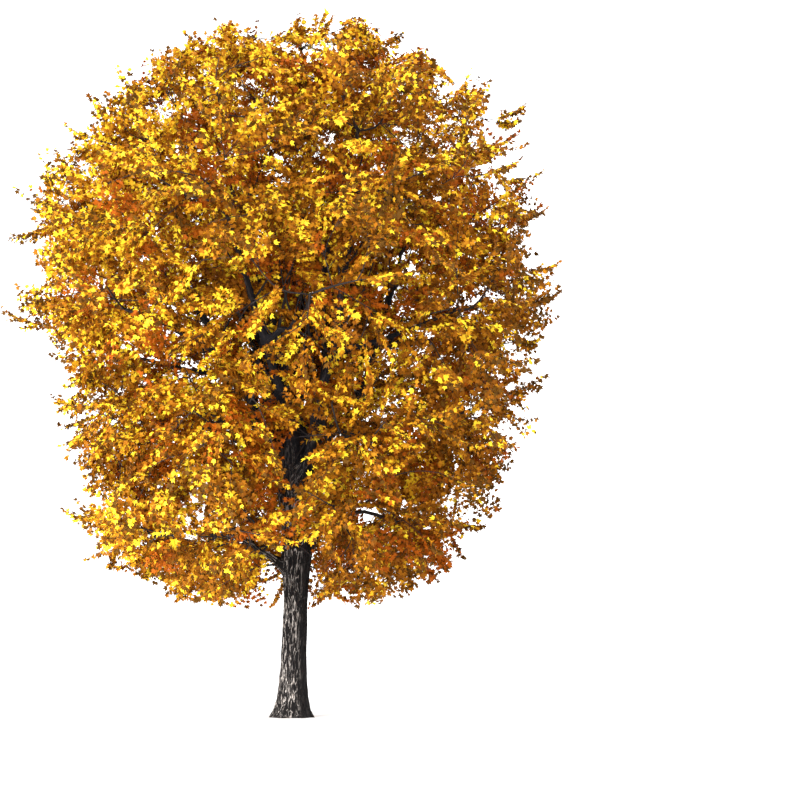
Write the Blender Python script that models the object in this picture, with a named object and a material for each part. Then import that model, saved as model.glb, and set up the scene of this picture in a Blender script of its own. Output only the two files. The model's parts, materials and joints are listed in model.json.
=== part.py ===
"""A silver maple in autumn leaf, as separate solids: the trunk, its boughs and its masses of foliage.

Metres, +Z up. The origin is the centre of the flat cut under the trunk, at ground level.
"""

import math
import random
from collections import namedtuple

import bmesh
import bpy
import numpy as np
from mathutils import Vector
from mathutils.bvhtree import BVHTree

# The chance that places everything, and the room left between a piece and the one it grows on
SEED = 7
CLEARANCE = 0.0004

# The trunk: (height, radius) up its axis, and (height, sideways, back) where the axis wanders
TRUNK_PROFILE = (
    (0.0, 0.56), (0.22, 0.475), (0.55, 0.425), (1.1, 0.385), (1.9, 0.355), (3.2, 0.34), (4.1, 0.365),
    (4.9, 0.315), (5.9, 0.25), (7.3, 0.245), (8.0, 0.225), (8.7, 0.16), (10.2, 0.125), (12.8, 0.095),
    (15.4, 0.06),
)
TRUNK_WANDER = (
    (0.0, 0.0, 0.0), (3.3, 0.09, 0.02), (6.3, 0.13, -0.02), (8.2, 0.03, 0.03), (15.4, 0.3, 0.0),
)
TRUNK_SIDES = 18
BUTTRESSES = 6
BUTTRESS_SWELL = 0.15
BUTTRESS_HEIGHT = 0.55

# The crown: one row for each ring of foliage, from the lowest up. A mass reaches this far from the
# trunk's axis on the left and on the right, its heart is this high there, it slopes outwards by
# `rise` degrees, and `along`, `across` and `thick` are half its length, width and depth.
Tier = namedtuple(
    "Tier",
    "name count first_azimuth left_reach right_reach left_height right_height rise along across thick",
)
TIERS = (
    Tier("skirt", 6, 0, 6.8, 5.8, 5.35, 5.3, -2, 2.5, 2.8, 2.2),
    Tier("lower", 6, 0, 6.9, 7.3, 8.2, 7.9, 10, 2.5, 3.0, 2.2),
    Tier("middle", 6, 30, 8.3, 8.3, 10.7, 10.8, 16, 2.7, 3.2, 2.2),
    Tier("upper", 6, 0, 8.2, 7.4, 13.4, 13.7, 24, 2.8, 3.2, 2.3),
    Tier("high", 5, 18, 6.1, 6.0, 15.7, 16.3, 46, 2.6, 3.0, 2.3),
    Tier("top", 1, 0, 0.6, 0.6, 17.6, 17.6, 90, 2.7, 3.0, 2.9),
)
AZIMUTH_PLAY = 8.0
HEIGHT_PLAY = 0.45
REACH_PLAY = 0.25
FOOT_SHARE = 0.75

# The boughs: where each tier's boughs leave the wood, how steeply they leave it and arrive on the
# tree's left and on its right, in degrees, and their thickness. `STEP_ORDER` says how many steps up
# each one leaves. A side bough's place is a share of its parent's length, its radius one of its parent's.
TRUNK_BOUGHS = {
    "skirt": {"first_height": 4.0, "step": 0.12, "leave": (24, 24), "arrive": (0, 0), "radius": 0.085},
    "upper": {"first_height": 4.4, "step": 0.5, "leave": (80, 42), "arrive": (45, 72), "radius": 0.16},
    "high": {"first_height": 6.5, "step": 0.45, "leave": (74, 76), "arrive": (60, 66), "radius": 0.12},
}
STEP_ORDER = {"skirt": (3, 2, 1, 0, 5, 4), "upper": (3, 2, 1, 0, 5, 4), "high": (0, 1, 2, 3, 4)}
SIDE_BOUGHS = {
    "lower": {"parent": "upper", "share": 0.3, "leave": (30, 24), "arrive": (8, 14), "radius": 0.75},
    "middle": {"parent": "upper", "share": 0.52, "leave": (45, 40), "arrive": (20, 18), "radius": 0.75},
}
BOUGH_TIP_RADIUS = 0.06
BOUGH_POINTS = 8
BOUGH_BEND = 0.36
BOUGH_WANDER = 0.06
BOUGH_TAPER = 0.8
COLLAR_SWELL = 0.35
COLLAR_LENGTH = 0.35
CAP_WELD = 0.0001
BARK_CREASE = 50

# The twigs: each leads to one of a mass's sprays, which stand this far inside the mass's outer face
SPRAYS = 7
SITE_CHOICE = 60
SPRAY_DEPTH = 1.15
INNER_LIMIT = -0.2
TWIG_TIP_RADIUS = 0.03
TWIG_THICKENING = 0.6
TWIG_FORK_FIT = 0.42
SHARP_TURN = 0.4
STEM_SHARE = 0.3
FORK_SHARE = 0.5
FORK_WAYS = 3
TWIG_TESTS = 8
GOLDEN_ANGLE = math.pi * (3 - math.sqrt(5))

# The leaves: `LEAF_STATIONS` says how far behind a twig's tip each one grows, and where round the twig
MOST_LEAVES = 23
LEAF_LENGTH = 1.9
LEAF_WIDTH = 1.5
LEAF_THICKNESS = 0.05
LEAF_STATIONS = ((0.0, 0), (0.3, 0), (0.38, 180), (0.9, 90), (0.98, 270), (1.5, 0), (1.58, 180))
LEAFY_SHARE = 0.8
LEAF_SPREAD = 68
SPREAD_PLAY = 14
TURN_PLAY = 35
LEAF_LEAN = 0.7
LEAF_TRIES = 16
LEAST_LEAF = 0.6
ROOT_DEPTH = 0.025
ROOT_SHARE = 0.4

# The room between a mass's leaves and its neighbours' or the limbs, and how finely a joined mass is
# tested: corners this near count as one, and slivers this thin are dissolved. A mass that doesn't join
# into one sound solid is grown again with its forks a little further on.
CELL_MARGIN = 0.012
LIMB_MARGIN = 0.03
TOUCH = 0.00001
THIN = 0.0002
JOIN_TRIES = 6
FORK_SHIFT = 0.02

# Colours: red, green, blue, roughness
BARK = (0.16, 0.145, 0.13, 0.9)
LEAVES = {
    "skirt": (0.62, 0.33, 0.03, 0.6),
    "lower": (0.66, 0.36, 0.03, 0.6),
    "middle": (0.72, 0.42, 0.03, 0.6),
    "upper": (0.78, 0.47, 0.04, 0.6),
    "high": (0.82, 0.52, 0.05, 0.6),
    "top": (0.85, 0.56, 0.05, 0.6),
}

Mass = namedtuple("Mass", "name tier index azimuth heart turn half foot axis")
Limb = namedtuple("Limb", "name points radii")


def clear_scene():
    for old in list(bpy.data.objects):
        bpy.data.objects.remove(old, do_unlink=True)


def new_collection(name):
    made = bpy.data.collections.new(name)
    bpy.context.scene.collection.children.link(made)
    return made


def material(name, colour):
    made = bpy.data.materials.new(name)
    made.use_nodes = True
    shader = made.node_tree.nodes["Principled BSDF"]
    shader.inputs["Base Color"].default_value = (*colour[:3], 1)
    shader.inputs["Roughness"].default_value = colour[3]
    shader.inputs["Metallic"].default_value = 0
    return made


def new_object(name, mesh, collection):
    made = bpy.data.objects.new(name, mesh)
    collection.objects.link(made)
    return made


def unit(vector):
    return vector / max(float(np.linalg.norm(vector)), 1e-9)


def between(table, value):
    """A row of numbers read from a table at this value of its first column."""
    table = np.array(table)
    return np.array([np.interp(value, table[:, 0], column) for column in table[:, 1:].T])


def trunk_axis(height):
    sideways, back = between(TRUNK_WANDER, height)
    return np.array((sideways, back, height))


def trunk_radius(height):
    return float(between(TRUNK_PROFILE, height)[0])


def mass_of(tier, index, chance):
    """Where one mass of foliage sits: its outer end lies on the crown's outline."""
    azimuth = math.radians(
        tier.first_azimuth + 360 * index / tier.count + chance.uniform(-AZIMUTH_PLAY, AZIMUTH_PLAY)
    )
    leftness = (1 - math.cos(azimuth)) / 2
    reach = tier.right_reach + (tier.left_reach - tier.right_reach) * leftness
    height = tier.right_height + (tier.left_height - tier.right_height) * leftness
    reach += chance.uniform(-REACH_PLAY, REACH_PLAY)
    height += chance.uniform(-HEIGHT_PLAY, HEIGHT_PLAY)
    rise = math.radians(tier.rise)
    outward = np.array((math.cos(azimuth), math.sin(azimuth), 0))
    axis = outward * math.cos(rise) + np.array((0, 0, math.sin(rise)))
    across = np.array((-math.sin(azimuth), math.cos(azimuth), 0))
    heart = outward * (reach - tier.along * math.cos(rise)) + np.array((0, 0, height))
    turn = np.array((axis, across, np.cross(axis, across)))
    half = np.array((tier.along, tier.across, tier.thick))
    foot = heart - axis * tier.along * FOOT_SHARE
    name = f"foliage_{tier.name}_{index + 1}"
    return Mass(name, tier.name, index, azimuth, heart, turn, half, foot, axis)


def place_masses():
    chance = random.Random(SEED)
    return [mass_of(tier, index, chance) for tier in TIERS for index in range(tier.count)]


def bend(start, start_way, end, end_way, count):
    """Points along one smooth curve that leaves `start` and arrives at `end` in the ways given."""
    pull = np.linalg.norm(end - start) * BOUGH_BEND
    corners = (start, start + start_way * pull, end - end_way * pull, end)
    share = np.linspace(0, 1, count)[:, None]
    weights = ((1 - share) ** 3, 3 * share * (1 - share) ** 2, 3 * share**2 * (1 - share), share**3)
    return sum(weight * corner for weight, corner in zip(weights, corners))


def by_side(mass, pair):
    """A value between the one for the tree's left and the one for its right."""
    leftness = (1 - math.cos(mass.azimuth)) / 2
    return pair[1] + (pair[0] - pair[1]) * leftness


def way_of(mass, steepness):
    """The way that points out towards the mass, this steeply up in degrees."""
    steep = math.radians(steepness)
    level = np.array((math.cos(mass.azimuth), math.sin(mass.azimuth), 0))
    return level * math.cos(steep) + np.array((0, 0, math.sin(steep)))


def bough_limb(mass, start, rule, radius, buried):
    """A tapering limb from the wood at `start` to the foot of its mass, with a collar where it leaves."""
    name = mass.name.replace("foliage", "bough")
    leave = way_of(mass, by_side(mass, rule["leave"]))
    arrive = way_of(mass, by_side(mass, rule["arrive"]))
    points = bend(start, leave, mass.foot, arrive, BOUGH_POINTS)
    chance = random.Random(name)
    for place in points[1:-2]:
        place += [chance.uniform(-BOUGH_WANDER, BOUGH_WANDER) for _ in range(3)]
    gone = np.linalg.norm(points - start, axis=1)
    share = np.linspace(0, 1, BOUGH_POINTS)
    radii = BOUGH_TIP_RADIUS + (radius - BOUGH_TIP_RADIUS) * (1 - share) ** BOUGH_TAPER
    radii *= 1 + COLLAR_SWELL * np.exp(-np.maximum(gone - buried, 0) / COLLAR_LENGTH)
    return Limb(name, points, radii)


def trunk_limb(tip):
    """The trunk's axis and radii, ending where the topmost mass starts."""
    points = np.array([trunk_axis(height) for height, _ in TRUNK_PROFILE])
    points[-1] = tip
    return Limb("trunk", points, np.array([radius for _, radius in TRUNK_PROFILE]))


def grow_limbs(masses):
    """The trunk, then every bough in an order where each one's parent comes first."""
    limbs = {"trunk": trunk_limb(masses[-1].foot)}
    for mass in masses:
        rule = TRUNK_BOUGHS.get(mass.tier)
        if rule:
            height = rule["first_height"] + rule["step"] * STEP_ORDER[mass.tier][mass.index]
            limb = bough_limb(mass, trunk_axis(height), rule, rule["radius"], trunk_radius(height))
            limbs[limb.name] = limb
    for mass in masses:
        rule = SIDE_BOUGHS.get(mass.tier)
        if rule:
            parent = limbs[f"bough_{rule['parent']}_{mass.index + 1}"]
            place = rule["share"] * (BOUGH_POINTS - 1)
            steps = np.arange(BOUGH_POINTS)
            start = np.array([np.interp(place, steps, column) for column in parent.points.T])
            thick = float(np.interp(place, steps, parent.radii))
            limb = bough_limb(mass, start, rule, thick * rule["radius"], thick)
            limbs[limb.name] = limb
    return limbs


def in_space(points, mass, hearts):
    """Whether every point lies in the mass's own space: inside its round form and nearest its heart."""
    local = (points - mass.heart) @ mass.turn.T / mass.half
    if (local**2).sum(1).max() > 1:
        return False
    towards = hearts - mass.heart
    apart = np.linalg.norm(towards, axis=1)
    others = apart > CELL_MARGIN
    beyond = (points - mass.heart) @ (towards[others] / apart[others, None]).T
    return bool((beyond < apart[others] / 2 - CELL_MARGIN).all())


def clear_of_limbs(points, limbs):
    """Whether every point stands clear of the trunk and of every bough."""
    for limb in limbs.values():
        start, step = limb.points[:-1], np.diff(limb.points, axis=0)
        offset = points[:, None] - start
        share = np.clip((offset * step).sum(2) / (step**2).sum(1), 0, 1)
        gap = np.linalg.norm(offset - share[..., None] * step, axis=2)
        room = limb.radii[:-1] + share * np.diff(limb.radii) + LIMB_MARGIN
        if (gap < room).any():
            return False
    return True


def spray_sites(mass, crown_heart, in_place):
    """Places spread wide just inside the mass's outer face, each with the face's normal there."""
    sites = []
    for index in range(SITE_CHOICE):
        height = 1 - 2 * (index + 0.5) / SITE_CHOICE
        ring = math.sqrt(1 - height**2)
        angle = GOLDEN_ANGLE * index + mass.azimuth
        local = np.array((height, ring * math.cos(angle), ring * math.sin(angle)))
        normal = unit((local / mass.half) @ mass.turn)
        site = mass.heart + (local * (mass.half - SPRAY_DEPTH)) @ mass.turn
        if normal @ unit(site - crown_heart) > INNER_LIMIT and in_place(site[None]):
            sites.append((site, normal))
    chosen = [sites.pop(0)]
    while sites and len(chosen) < SPRAYS:
        gaps = [min(np.linalg.norm(site - other) for other, _ in chosen) for site, _ in sites]
        chosen.append(sites.pop(int(np.argmax(gaps))))
    return chosen


def leaf_mesh(root, way, normal, size):
    """A thin leaf folded along its midrib: a flattened cone of three sides, from `root` along `way`."""
    across = unit(np.cross(normal, way))
    up = np.cross(way, across)
    middle = root + way * LEAF_LENGTH * size / 2 + up * LEAF_THICKNESS
    wide = across * LEAF_WIDTH * size / 2
    tip = root + way * LEAF_LENGTH * size
    form = bmesh.new()
    bmesh.ops.create_cone(form, cap_ends=True, segments=3, radius1=1, radius2=0, depth=1)
    form.verts.sort(key=lambda corner: corner.co.z)
    for corner, place in zip(form.verts, (root, middle + wide, middle - wide, tip)):
        corner.co = place
    bmesh.ops.recalc_face_normals(form, faces=form.faces)
    mesh = bpy.data.meshes.new("leaf")
    form.to_mesh(mesh)
    form.free()
    return mesh


def twig_mesh(path):
    """A three-sided tapering twig along a line of places, each with the twig's radius there."""
    places = [Vector(place) for place, _ in path]
    form = bmesh.new()
    rings = []
    turn = None
    for number, (place, radius) in enumerate(path):
        way = places[min(number + 1, len(path) - 1)] - places[max(number - 1, 0)]
        if turn is None:
            turn = way.to_track_quat("Z", "Y")
        else:
            turn = (turn @ Vector((0, 0, 1))).rotation_difference(way) @ turn
        angles = [2 * math.pi * side / 3 for side in range(3)]
        corners = [Vector((math.cos(angle), math.sin(angle), 0)) * radius for angle in angles]
        rings.append([form.verts.new(places[number] + turn @ corner) for corner in corners])
    for lower, upper in zip(rings, rings[1:]):
        for side in range(3):
            after = (side + 1) % 3
            form.faces.new((lower[side], lower[after], upper[after], upper[side]))
    form.faces.new(reversed(rings[0]))
    form.faces.new(rings[-1])
    mesh = bpy.data.meshes.new("twig")
    form.to_mesh(mesh)
    form.free()
    return mesh


def twig_radius(carried):
    return TWIG_TIP_RADIUS * carried**TWIG_THICKENING


def ramify(path, sites, fork_share, twigs):
    """Leads a twig on to the sites straight ahead and sends off others to the rest, again and again."""
    places = np.array([site for site, _ in sites])
    start = path[-1][0]
    if len(sites) == 1:
        twigs.append((path + [(places[0], min(path[-1][1], TWIG_TIP_RADIUS))], sites[0]))
        return
    middle = places.mean(0)
    fork = start + (middle - start) * fork_share
    radius = twig_radius(len(sites))
    way = unit(middle - start)
    spread = places - fork
    spread -= (spread @ way)[:, None] * way
    widest = np.linalg.svd(spread)[2][0]
    order = np.argsort(spread @ widest)
    groups = np.array_split(order, min(FORK_WAYS, len(order)))
    ahead = [unit(places[group].mean(0) - fork) @ way for group in groups]
    leader = int(np.argmax(ahead))
    if ahead[leader] < SHARP_TURN:
        twigs.append((path + [(fork, radius)], None))
        leader = None
    for number, group in enumerate(groups):
        part = [sites[index] for index in group]
        if number == leader:
            ramify(path + [(fork, radius)], part, fork_share, twigs)
        else:
            thin = min(radius * TWIG_FORK_FIT, twig_radius(len(group)))
            ramify([(fork, thin)], part, fork_share, twigs)


def grow_twigs(stem, sites, fork_share, in_place):
    """The twigs to all the sites, done again without each site whose twig would leave its space."""
    while True:
        twigs = []
        ramify(stem, sites, fork_share, twigs)
        kept = []
        for path, site in twigs:
            knots = np.array([place for place, _ in path if place is not stem[0][0]])
            steps = np.linspace(knots[:-1], knots[1:], TWIG_TESTS).reshape(-1, 3)
            if site is not None and in_place(steps):
                kept.append(site)
        if len(kept) == len(sites):
            return twigs
        sites = kept


def surface(mesh):
    """What tells whether a mesh's surface crosses another one's."""
    corners = [corner.co for corner in mesh.vertices]
    return BVHTree.FromPolygons(corners, [face.vertices for face in mesh.polygons])


def leaf_on(path, normal, station, chance, fits):
    """One leaf on a twig's last stretch, as large as fits in a few tries, or none."""
    (before, thick), (end, thin) = path[-2:]
    length = float(np.linalg.norm(end - before))
    back, turn = station
    if back > length * LEAFY_SHARE:
        return None
    way = unit(end - before)
    side = unit(np.cross(way, normal))
    other = np.cross(way, side)
    radius = thin + (thick - thin) * back / length
    for attempt in range(LEAF_TRIES):
        size = 1 - (1 - LEAST_LEAF) * attempt / (LEAF_TRIES - 1)
        spread = math.radians((LEAF_SPREAD if back else 0) + chance.uniform(-SPREAD_PLAY, SPREAD_PLAY))
        angle = math.radians(turn + chance.uniform(-TURN_PLAY, TURN_PLAY))
        outwards = side * math.cos(angle) + other * math.sin(angle)
        leaf_way = unit(way * math.cos(spread) + outwards * math.sin(spread))
        lean = np.array([chance.gauss(0, LEAF_LEAN) for _ in range(3)])
        root = end - way * back - leaf_way * min(ROOT_DEPTH, radius * ROOT_SHARE)
        leaf = leaf_mesh(root, leaf_way, normal + lean, size)
        if fits(leaf):
            return leaf
        bpy.data.meshes.remove(leaf)
    return None


def bodies_of(form):
    """The separate bodies of a form, each as a set of its faces, the smallest first."""
    unseen = set(form.faces)
    bodies = []
    while unseen:
        body = {unseen.pop()}
        front = list(body)
        while front:
            for edge in front.pop().edges:
                for face in edge.link_faces:
                    if face in unseen:
                        unseen.remove(face)
                        body.add(face)
                        front.append(face)
        bodies.append(body)
    return sorted(bodies, key=len)


def largest_body(mesh):
    """Keeps the outside of the largest body of a mesh, so that no loose scrap or sealed hollow is left."""
    form = bmesh.new()
    form.from_mesh(mesh)
    bmesh.ops.dissolve_degenerate(form, dist=THIN, edges=form.edges)
    scraps = [face for body in bodies_of(form)[:-1] for face in body]
    bmesh.ops.delete(form, geom=scraps, context="FACES")
    form.to_mesh(mesh)
    form.free()


def sound(mesh):
    """Whether a mesh is one closed body that nowhere touches itself."""
    form = bmesh.new()
    form.from_mesh(mesh)
    bmesh.ops.remove_doubles(form, verts=form.verts, dist=TOUCH)
    whole = all(len(edge.link_faces) == 2 for edge in form.edges) and len(bodies_of(form)) == 1
    form.free()
    return whole


def joined(name, meshes, collection):
    """One solid from many that overlap, by a single Boolean union, or nothing if it isn't sound."""
    first = new_object(name, meshes[0], collection)
    rest = new_collection(name + "_pieces")
    for number, mesh in enumerate(meshes[1:]):
        new_object(f"{name}_piece_{number}", mesh, rest)
    union = first.modifiers.new("union", "BOOLEAN")
    union.operation = "UNION"
    union.operand_type = "COLLECTION"
    union.collection = rest
    union.solver = "EXACT"
    union.use_self = True
    graph = bpy.context.evaluated_depsgraph_get()
    mesh = bpy.data.meshes.new_from_object(first.evaluated_get(graph))
    first.modifiers.clear()
    for piece in list(rest.objects):
        bpy.data.objects.remove(piece, do_unlink=True)
    bpy.data.collections.remove(rest)
    largest_body(mesh)
    if sound(mesh):
        first.data = mesh
        return first
    bpy.data.objects.remove(first, do_unlink=True)
    return None


def leaves_of(twigs, meshes, chance, in_place, most):
    """Leaves on every twig, the tips' leaves first, none of which touches another leaf or twig."""
    wood = [surface(mesh) for mesh in meshes]
    leaves, grown = [], []
    for station in LEAF_STATIONS:
        for own, (path, site) in enumerate(twigs):
            others = [form for number, form in enumerate(wood) if number != own] + grown

            def fits(leaf):
                if not in_place(np.array([corner.co for corner in leaf.vertices])):
                    return False
                form = surface(leaf)
                return not any(form.overlap(other) for other in others)

            leaf = None
            if site is not None and len(leaves) < most:
                leaf = leaf_on(path, site[1], station, chance, fits)
            if leaf is not None:
                leaves.append(leaf)
                grown.append(surface(leaf))
    return leaves


def make_foliage(mass, masses, limbs, collection):
    """One mass of foliage: a stem from its bough's tip, twigs that fork from it, and leaves on them."""
    hearts = np.array([other.heart for other in masses])
    crown_heart = np.array((0, 0, float(hearts[:, 2].mean())))

    def in_place(points):
        return in_space(points, mass, hearts) and clear_of_limbs(points, limbs)

    sites = spray_sites(mass, crown_heart, in_place)
    way = end_way(mass, limbs)
    base = mass.foot + way * CLEARANCE
    stem_end = base + way * mass.half[0] * STEM_SHARE
    stem = [(base, twig_radius(len(sites) + 1)), (stem_end, twig_radius(len(sites)))]
    for attempt in range(JOIN_TRIES):
        twigs = grow_twigs(stem, sites, FORK_SHARE + FORK_SHIFT * attempt, in_place)
        first = next(number for number, (path, _) in enumerate(twigs) if path[0] is stem[0])
        meshes = [twig_mesh(path) for path, _ in twigs]
        square_cut(meshes[first], base, way)
        chance = random.Random(f"{mass.name} {attempt}")
        leaves = leaves_of(twigs, meshes, chance, in_place, MOST_LEAVES - max(attempt - 1, 0))
        foliage = joined(mass.name, meshes + leaves, collection)
        if foliage is not None:
            return foliage
    raise ValueError(mass.name + " doesn't join into one sound solid")


def end_way(mass, limbs):
    """The way a mass's bough faces at its cut end. The leader is cut level."""
    if mass.tier == "top":
        return np.array((0.0, 0.0, 1.0))
    points = limbs[mass.name.replace("foliage", "bough")].points
    return unit(points[-1] - points[-2])


def square_cut(stem, base, way):
    """Lays the stem's first corners in one plane, square to its bough's end."""
    for corner in list(stem.vertices)[:3]:
        behind = float((np.array(corner.co) - base) @ way)
        corner.co -= Vector(way * behind)


def tube_object(limb, name, grow, collection):
    """A bough as a bevelled curve, made a mesh. `grow` widens it, where it cuts room for itself."""
    curve = bpy.data.curves.new(name, "CURVE")
    curve.dimensions = "3D"
    curve.bevel_depth = 1
    curve.bevel_resolution = 1
    curve.use_fill_caps = True
    spline = curve.splines.new("POLY")
    spline.points.add(len(limb.points) - 1)
    for knot, place, radius in zip(spline.points, limb.points, limb.radii):
        knot.co = (*place, 1)
        knot.radius = radius + grow
    drawn = new_object(name + "_curve", curve, collection)
    graph = bpy.context.evaluated_depsgraph_get()
    mesh = bpy.data.meshes.new_from_object(drawn.evaluated_get(graph))
    bpy.data.objects.remove(drawn, do_unlink=True)
    form = bmesh.new()
    form.from_mesh(mesh)
    bmesh.ops.remove_doubles(form, verts=form.verts, dist=CAP_WELD)
    form.to_mesh(mesh)
    form.free()
    return new_object(name, mesh, collection)


def trunk_object(limb, name, grow, collection):
    """The trunk and its leader: round sections, lobed at the foot where the roots flare."""
    form = bmesh.new()
    rings = []
    for (across, back, height), radius in zip(limb.points, limb.radii):
        swell = BUTTRESS_SWELL * math.exp(-height / BUTTRESS_HEIGHT)
        ring = []
        for side in range(TRUNK_SIDES):
            angle = 2 * math.pi * side / TRUNK_SIDES
            wide = radius * (1 + swell * math.cos(BUTTRESSES * angle)) + grow
            ring.append(
                form.verts.new((across + wide * math.cos(angle), back + wide * math.sin(angle), height))
            )
        rings.append(ring)
    for lower, upper in zip(rings, rings[1:]):
        for side in range(TRUNK_SIDES):
            after = (side + 1) % TRUNK_SIDES
            form.faces.new((lower[side], lower[after], upper[after], upper[side]))
    form.faces.new(reversed(rings[0]))
    form.faces.new(rings[-1])
    mesh = bpy.data.meshes.new(name)
    form.to_mesh(mesh)
    form.free()
    return new_object(name, mesh, collection)


def near(first, second):
    """Whether the boxes of two objects meet."""
    boxes = [np.array([corner[:] for corner in thing.bound_box]) for thing in (first, second)]
    low = np.maximum(boxes[0].min(0), boxes[1].min(0))
    high = np.minimum(boxes[0].max(0), boxes[1].max(0))
    return bool((low < high).all())


def fit_to(wood, cutter):
    """Cuts a limb back to another one's surface, with a hair of clearance."""
    cut = wood.modifiers.new("cut", "BOOLEAN")
    cut.operation = "DIFFERENCE"
    cut.object = cutter
    cut.solver = "EXACT"
    graph = bpy.context.evaluated_depsgraph_get()
    mesh = bpy.data.meshes.new_from_object(wood.evaluated_get(graph))
    wood.modifiers.clear()
    largest_body(mesh)
    wood.data = mesh


def make_limbs(limbs, tree, cutters):
    """The trunk whole, and each bough cut back to the limbs that stood before it."""
    made = []
    for name, limb in limbs.items():
        if name == "trunk":
            wood = trunk_object(limb, name, 0, tree)
            cutter = trunk_object(limb, name + "_cutter", CLEARANCE, cutters)
        else:
            wood = tube_object(limb, name, 0, tree)
            cutter = tube_object(limb, name + "_cutter", CLEARANCE, cutters)
            for other in made:
                if near(wood, other):
                    fit_to(wood, other)
        cutter.hide_render = True
        cutter.display_type = "WIRE"
        made.append(cutter)
    for cutter in made:
        bpy.data.objects.remove(cutter, do_unlink=True)


def main():
    clear_scene()
    tree = new_collection("silver_maple")
    cutters = new_collection("cutters")
    masses = place_masses()
    limbs = grow_limbs(masses)
    make_limbs(limbs, tree, cutters)
    for wood in tree.objects:
        wood.data.materials.append(material(wood.name + "_bark", BARK))
        wood.data.set_sharp_from_angle(angle=math.radians(BARK_CREASE))
    for mass in masses:
        foliage = make_foliage(mass, masses, limbs, tree)
        foliage.data.materials.clear()
        foliage.data.materials.append(material(mass.name + "_leaf", LEAVES[mass.tier]))


main()
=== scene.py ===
# %% [markdown]
# # A silver maple in autumn leaf
#
# The frame below is the tree's plain construction: a trunk, twenty-nine boughs and thirty masses of
# foliage, each mass a few twigs with large folded leaves that stand for whole sprays. This lesson
# keeps the construction where it is and grows the real surface on it: furrowed bark on the trunk and
# boughs, finer twigs that fork on from the same stems, and some 170,000 leaves.

# %% Load the frame
import json
import math
import random
from collections import namedtuple

import bpy
import numpy as np
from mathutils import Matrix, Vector, noise

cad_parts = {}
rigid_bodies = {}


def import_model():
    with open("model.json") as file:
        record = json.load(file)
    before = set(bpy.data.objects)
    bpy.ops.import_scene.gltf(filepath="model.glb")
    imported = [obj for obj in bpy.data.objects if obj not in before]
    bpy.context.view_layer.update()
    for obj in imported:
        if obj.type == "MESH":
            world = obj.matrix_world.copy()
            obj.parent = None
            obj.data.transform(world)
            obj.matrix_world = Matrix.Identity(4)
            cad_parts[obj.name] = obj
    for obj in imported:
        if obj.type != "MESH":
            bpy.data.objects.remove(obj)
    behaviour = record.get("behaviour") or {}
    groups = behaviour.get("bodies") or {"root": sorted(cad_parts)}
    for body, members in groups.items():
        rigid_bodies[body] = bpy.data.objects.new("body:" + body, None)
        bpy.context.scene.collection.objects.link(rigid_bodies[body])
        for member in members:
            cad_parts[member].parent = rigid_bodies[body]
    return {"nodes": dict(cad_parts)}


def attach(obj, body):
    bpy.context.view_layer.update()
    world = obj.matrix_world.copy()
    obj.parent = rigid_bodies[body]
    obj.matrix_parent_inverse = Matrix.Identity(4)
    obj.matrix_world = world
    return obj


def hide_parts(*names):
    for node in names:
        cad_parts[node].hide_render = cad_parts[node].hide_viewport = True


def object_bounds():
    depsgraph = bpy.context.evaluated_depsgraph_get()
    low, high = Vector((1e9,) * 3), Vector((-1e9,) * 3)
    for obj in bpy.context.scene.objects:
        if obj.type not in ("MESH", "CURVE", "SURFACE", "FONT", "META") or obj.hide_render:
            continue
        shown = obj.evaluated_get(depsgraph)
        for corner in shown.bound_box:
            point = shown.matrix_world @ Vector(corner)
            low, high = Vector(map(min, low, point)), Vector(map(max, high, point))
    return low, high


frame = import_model()
SOLID_BOX = [list(corner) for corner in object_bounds()]
print("solids:", len(frame["nodes"]), "box:", np.round(SOLID_BOX, 2).tolist())

# %% [markdown]
# ## The view
#
# The tree is seen whole from a grown person's eye height on slightly rising ground, far enough off
# for the crown not to loom. The camera could be shifted to set the trunk left of the middle, but a
# shift would follow it round to every other view, so it is turned and tilted instead, as a
# photographer would do. The lens is long: sixty metres away, some twenty-two metres fill the frame.

# %% Camera
EYE = (0.0, -60.0, 2.6)
TURN_RIGHT = 2.847
TILT_UP = 5.888
LENS = 96.77

bpy.ops.object.camera_add(
    location=EYE, rotation=(math.radians(90 + TILT_UP), 0, math.radians(-TURN_RIGHT))
)
camera = bpy.context.object
camera.name = "camera"
camera.data.lens = LENS
camera.data.clip_end = 1000
bpy.context.scene.camera = camera
print("camera at", EYE, "lens", LENS)

# %% [markdown]
# ## Light and floor
#
# A tree this size can't stand in a studio, but it can be lit as if it did: an even white surround,
# one broad sun to the left in front, a third of the way up the sky, and a softbox low on the same
# side, because the crown shades its own trunk from the sun. The floor is a wide pale disc, so that
# no edge shows from any side. The plain colour transform keeps yellow leaves yellow, where a
# film-like one would grey them.

# %% Surround, sun, softbox and floor
SKY_STRENGTH = 2.25
SUN_STRENGTH = 1.95
SUN_ANGLE = 12.0
SUN_FROM = (-0.42, -0.8, 0.5)
SOFTBOX_PLACE = (-15.0, -14.0, 2.5)
SOFTBOX_AIM = (0.0, 0.0, 2.2)
SOFTBOX_SIZE = 5.0
SOFTBOX_POWER = 4200
FLOOR_RADIUS = 400.0
FLOOR_CORNERS = 96


def aimed(direction):
    """The turn that points a lamp this way."""
    return Vector(direction).to_track_quat("-Z", "Y").to_euler()


surround = bpy.data.worlds.new("surround")
surround.use_nodes = True
background = surround.node_tree.nodes["Background"].inputs
background["Color"].default_value = (1, 1, 1, 1)
background["Strength"].default_value = SKY_STRENGTH
bpy.context.scene.world = surround
bpy.context.scene.view_settings.view_transform = "Standard"

bpy.ops.object.light_add(type="SUN", location=(0, 0, 30), rotation=aimed(-Vector(SUN_FROM)))
sun = bpy.context.object
sun.name = "sun"
sun.data.energy = SUN_STRENGTH
sun.data.angle = math.radians(SUN_ANGLE)

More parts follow.
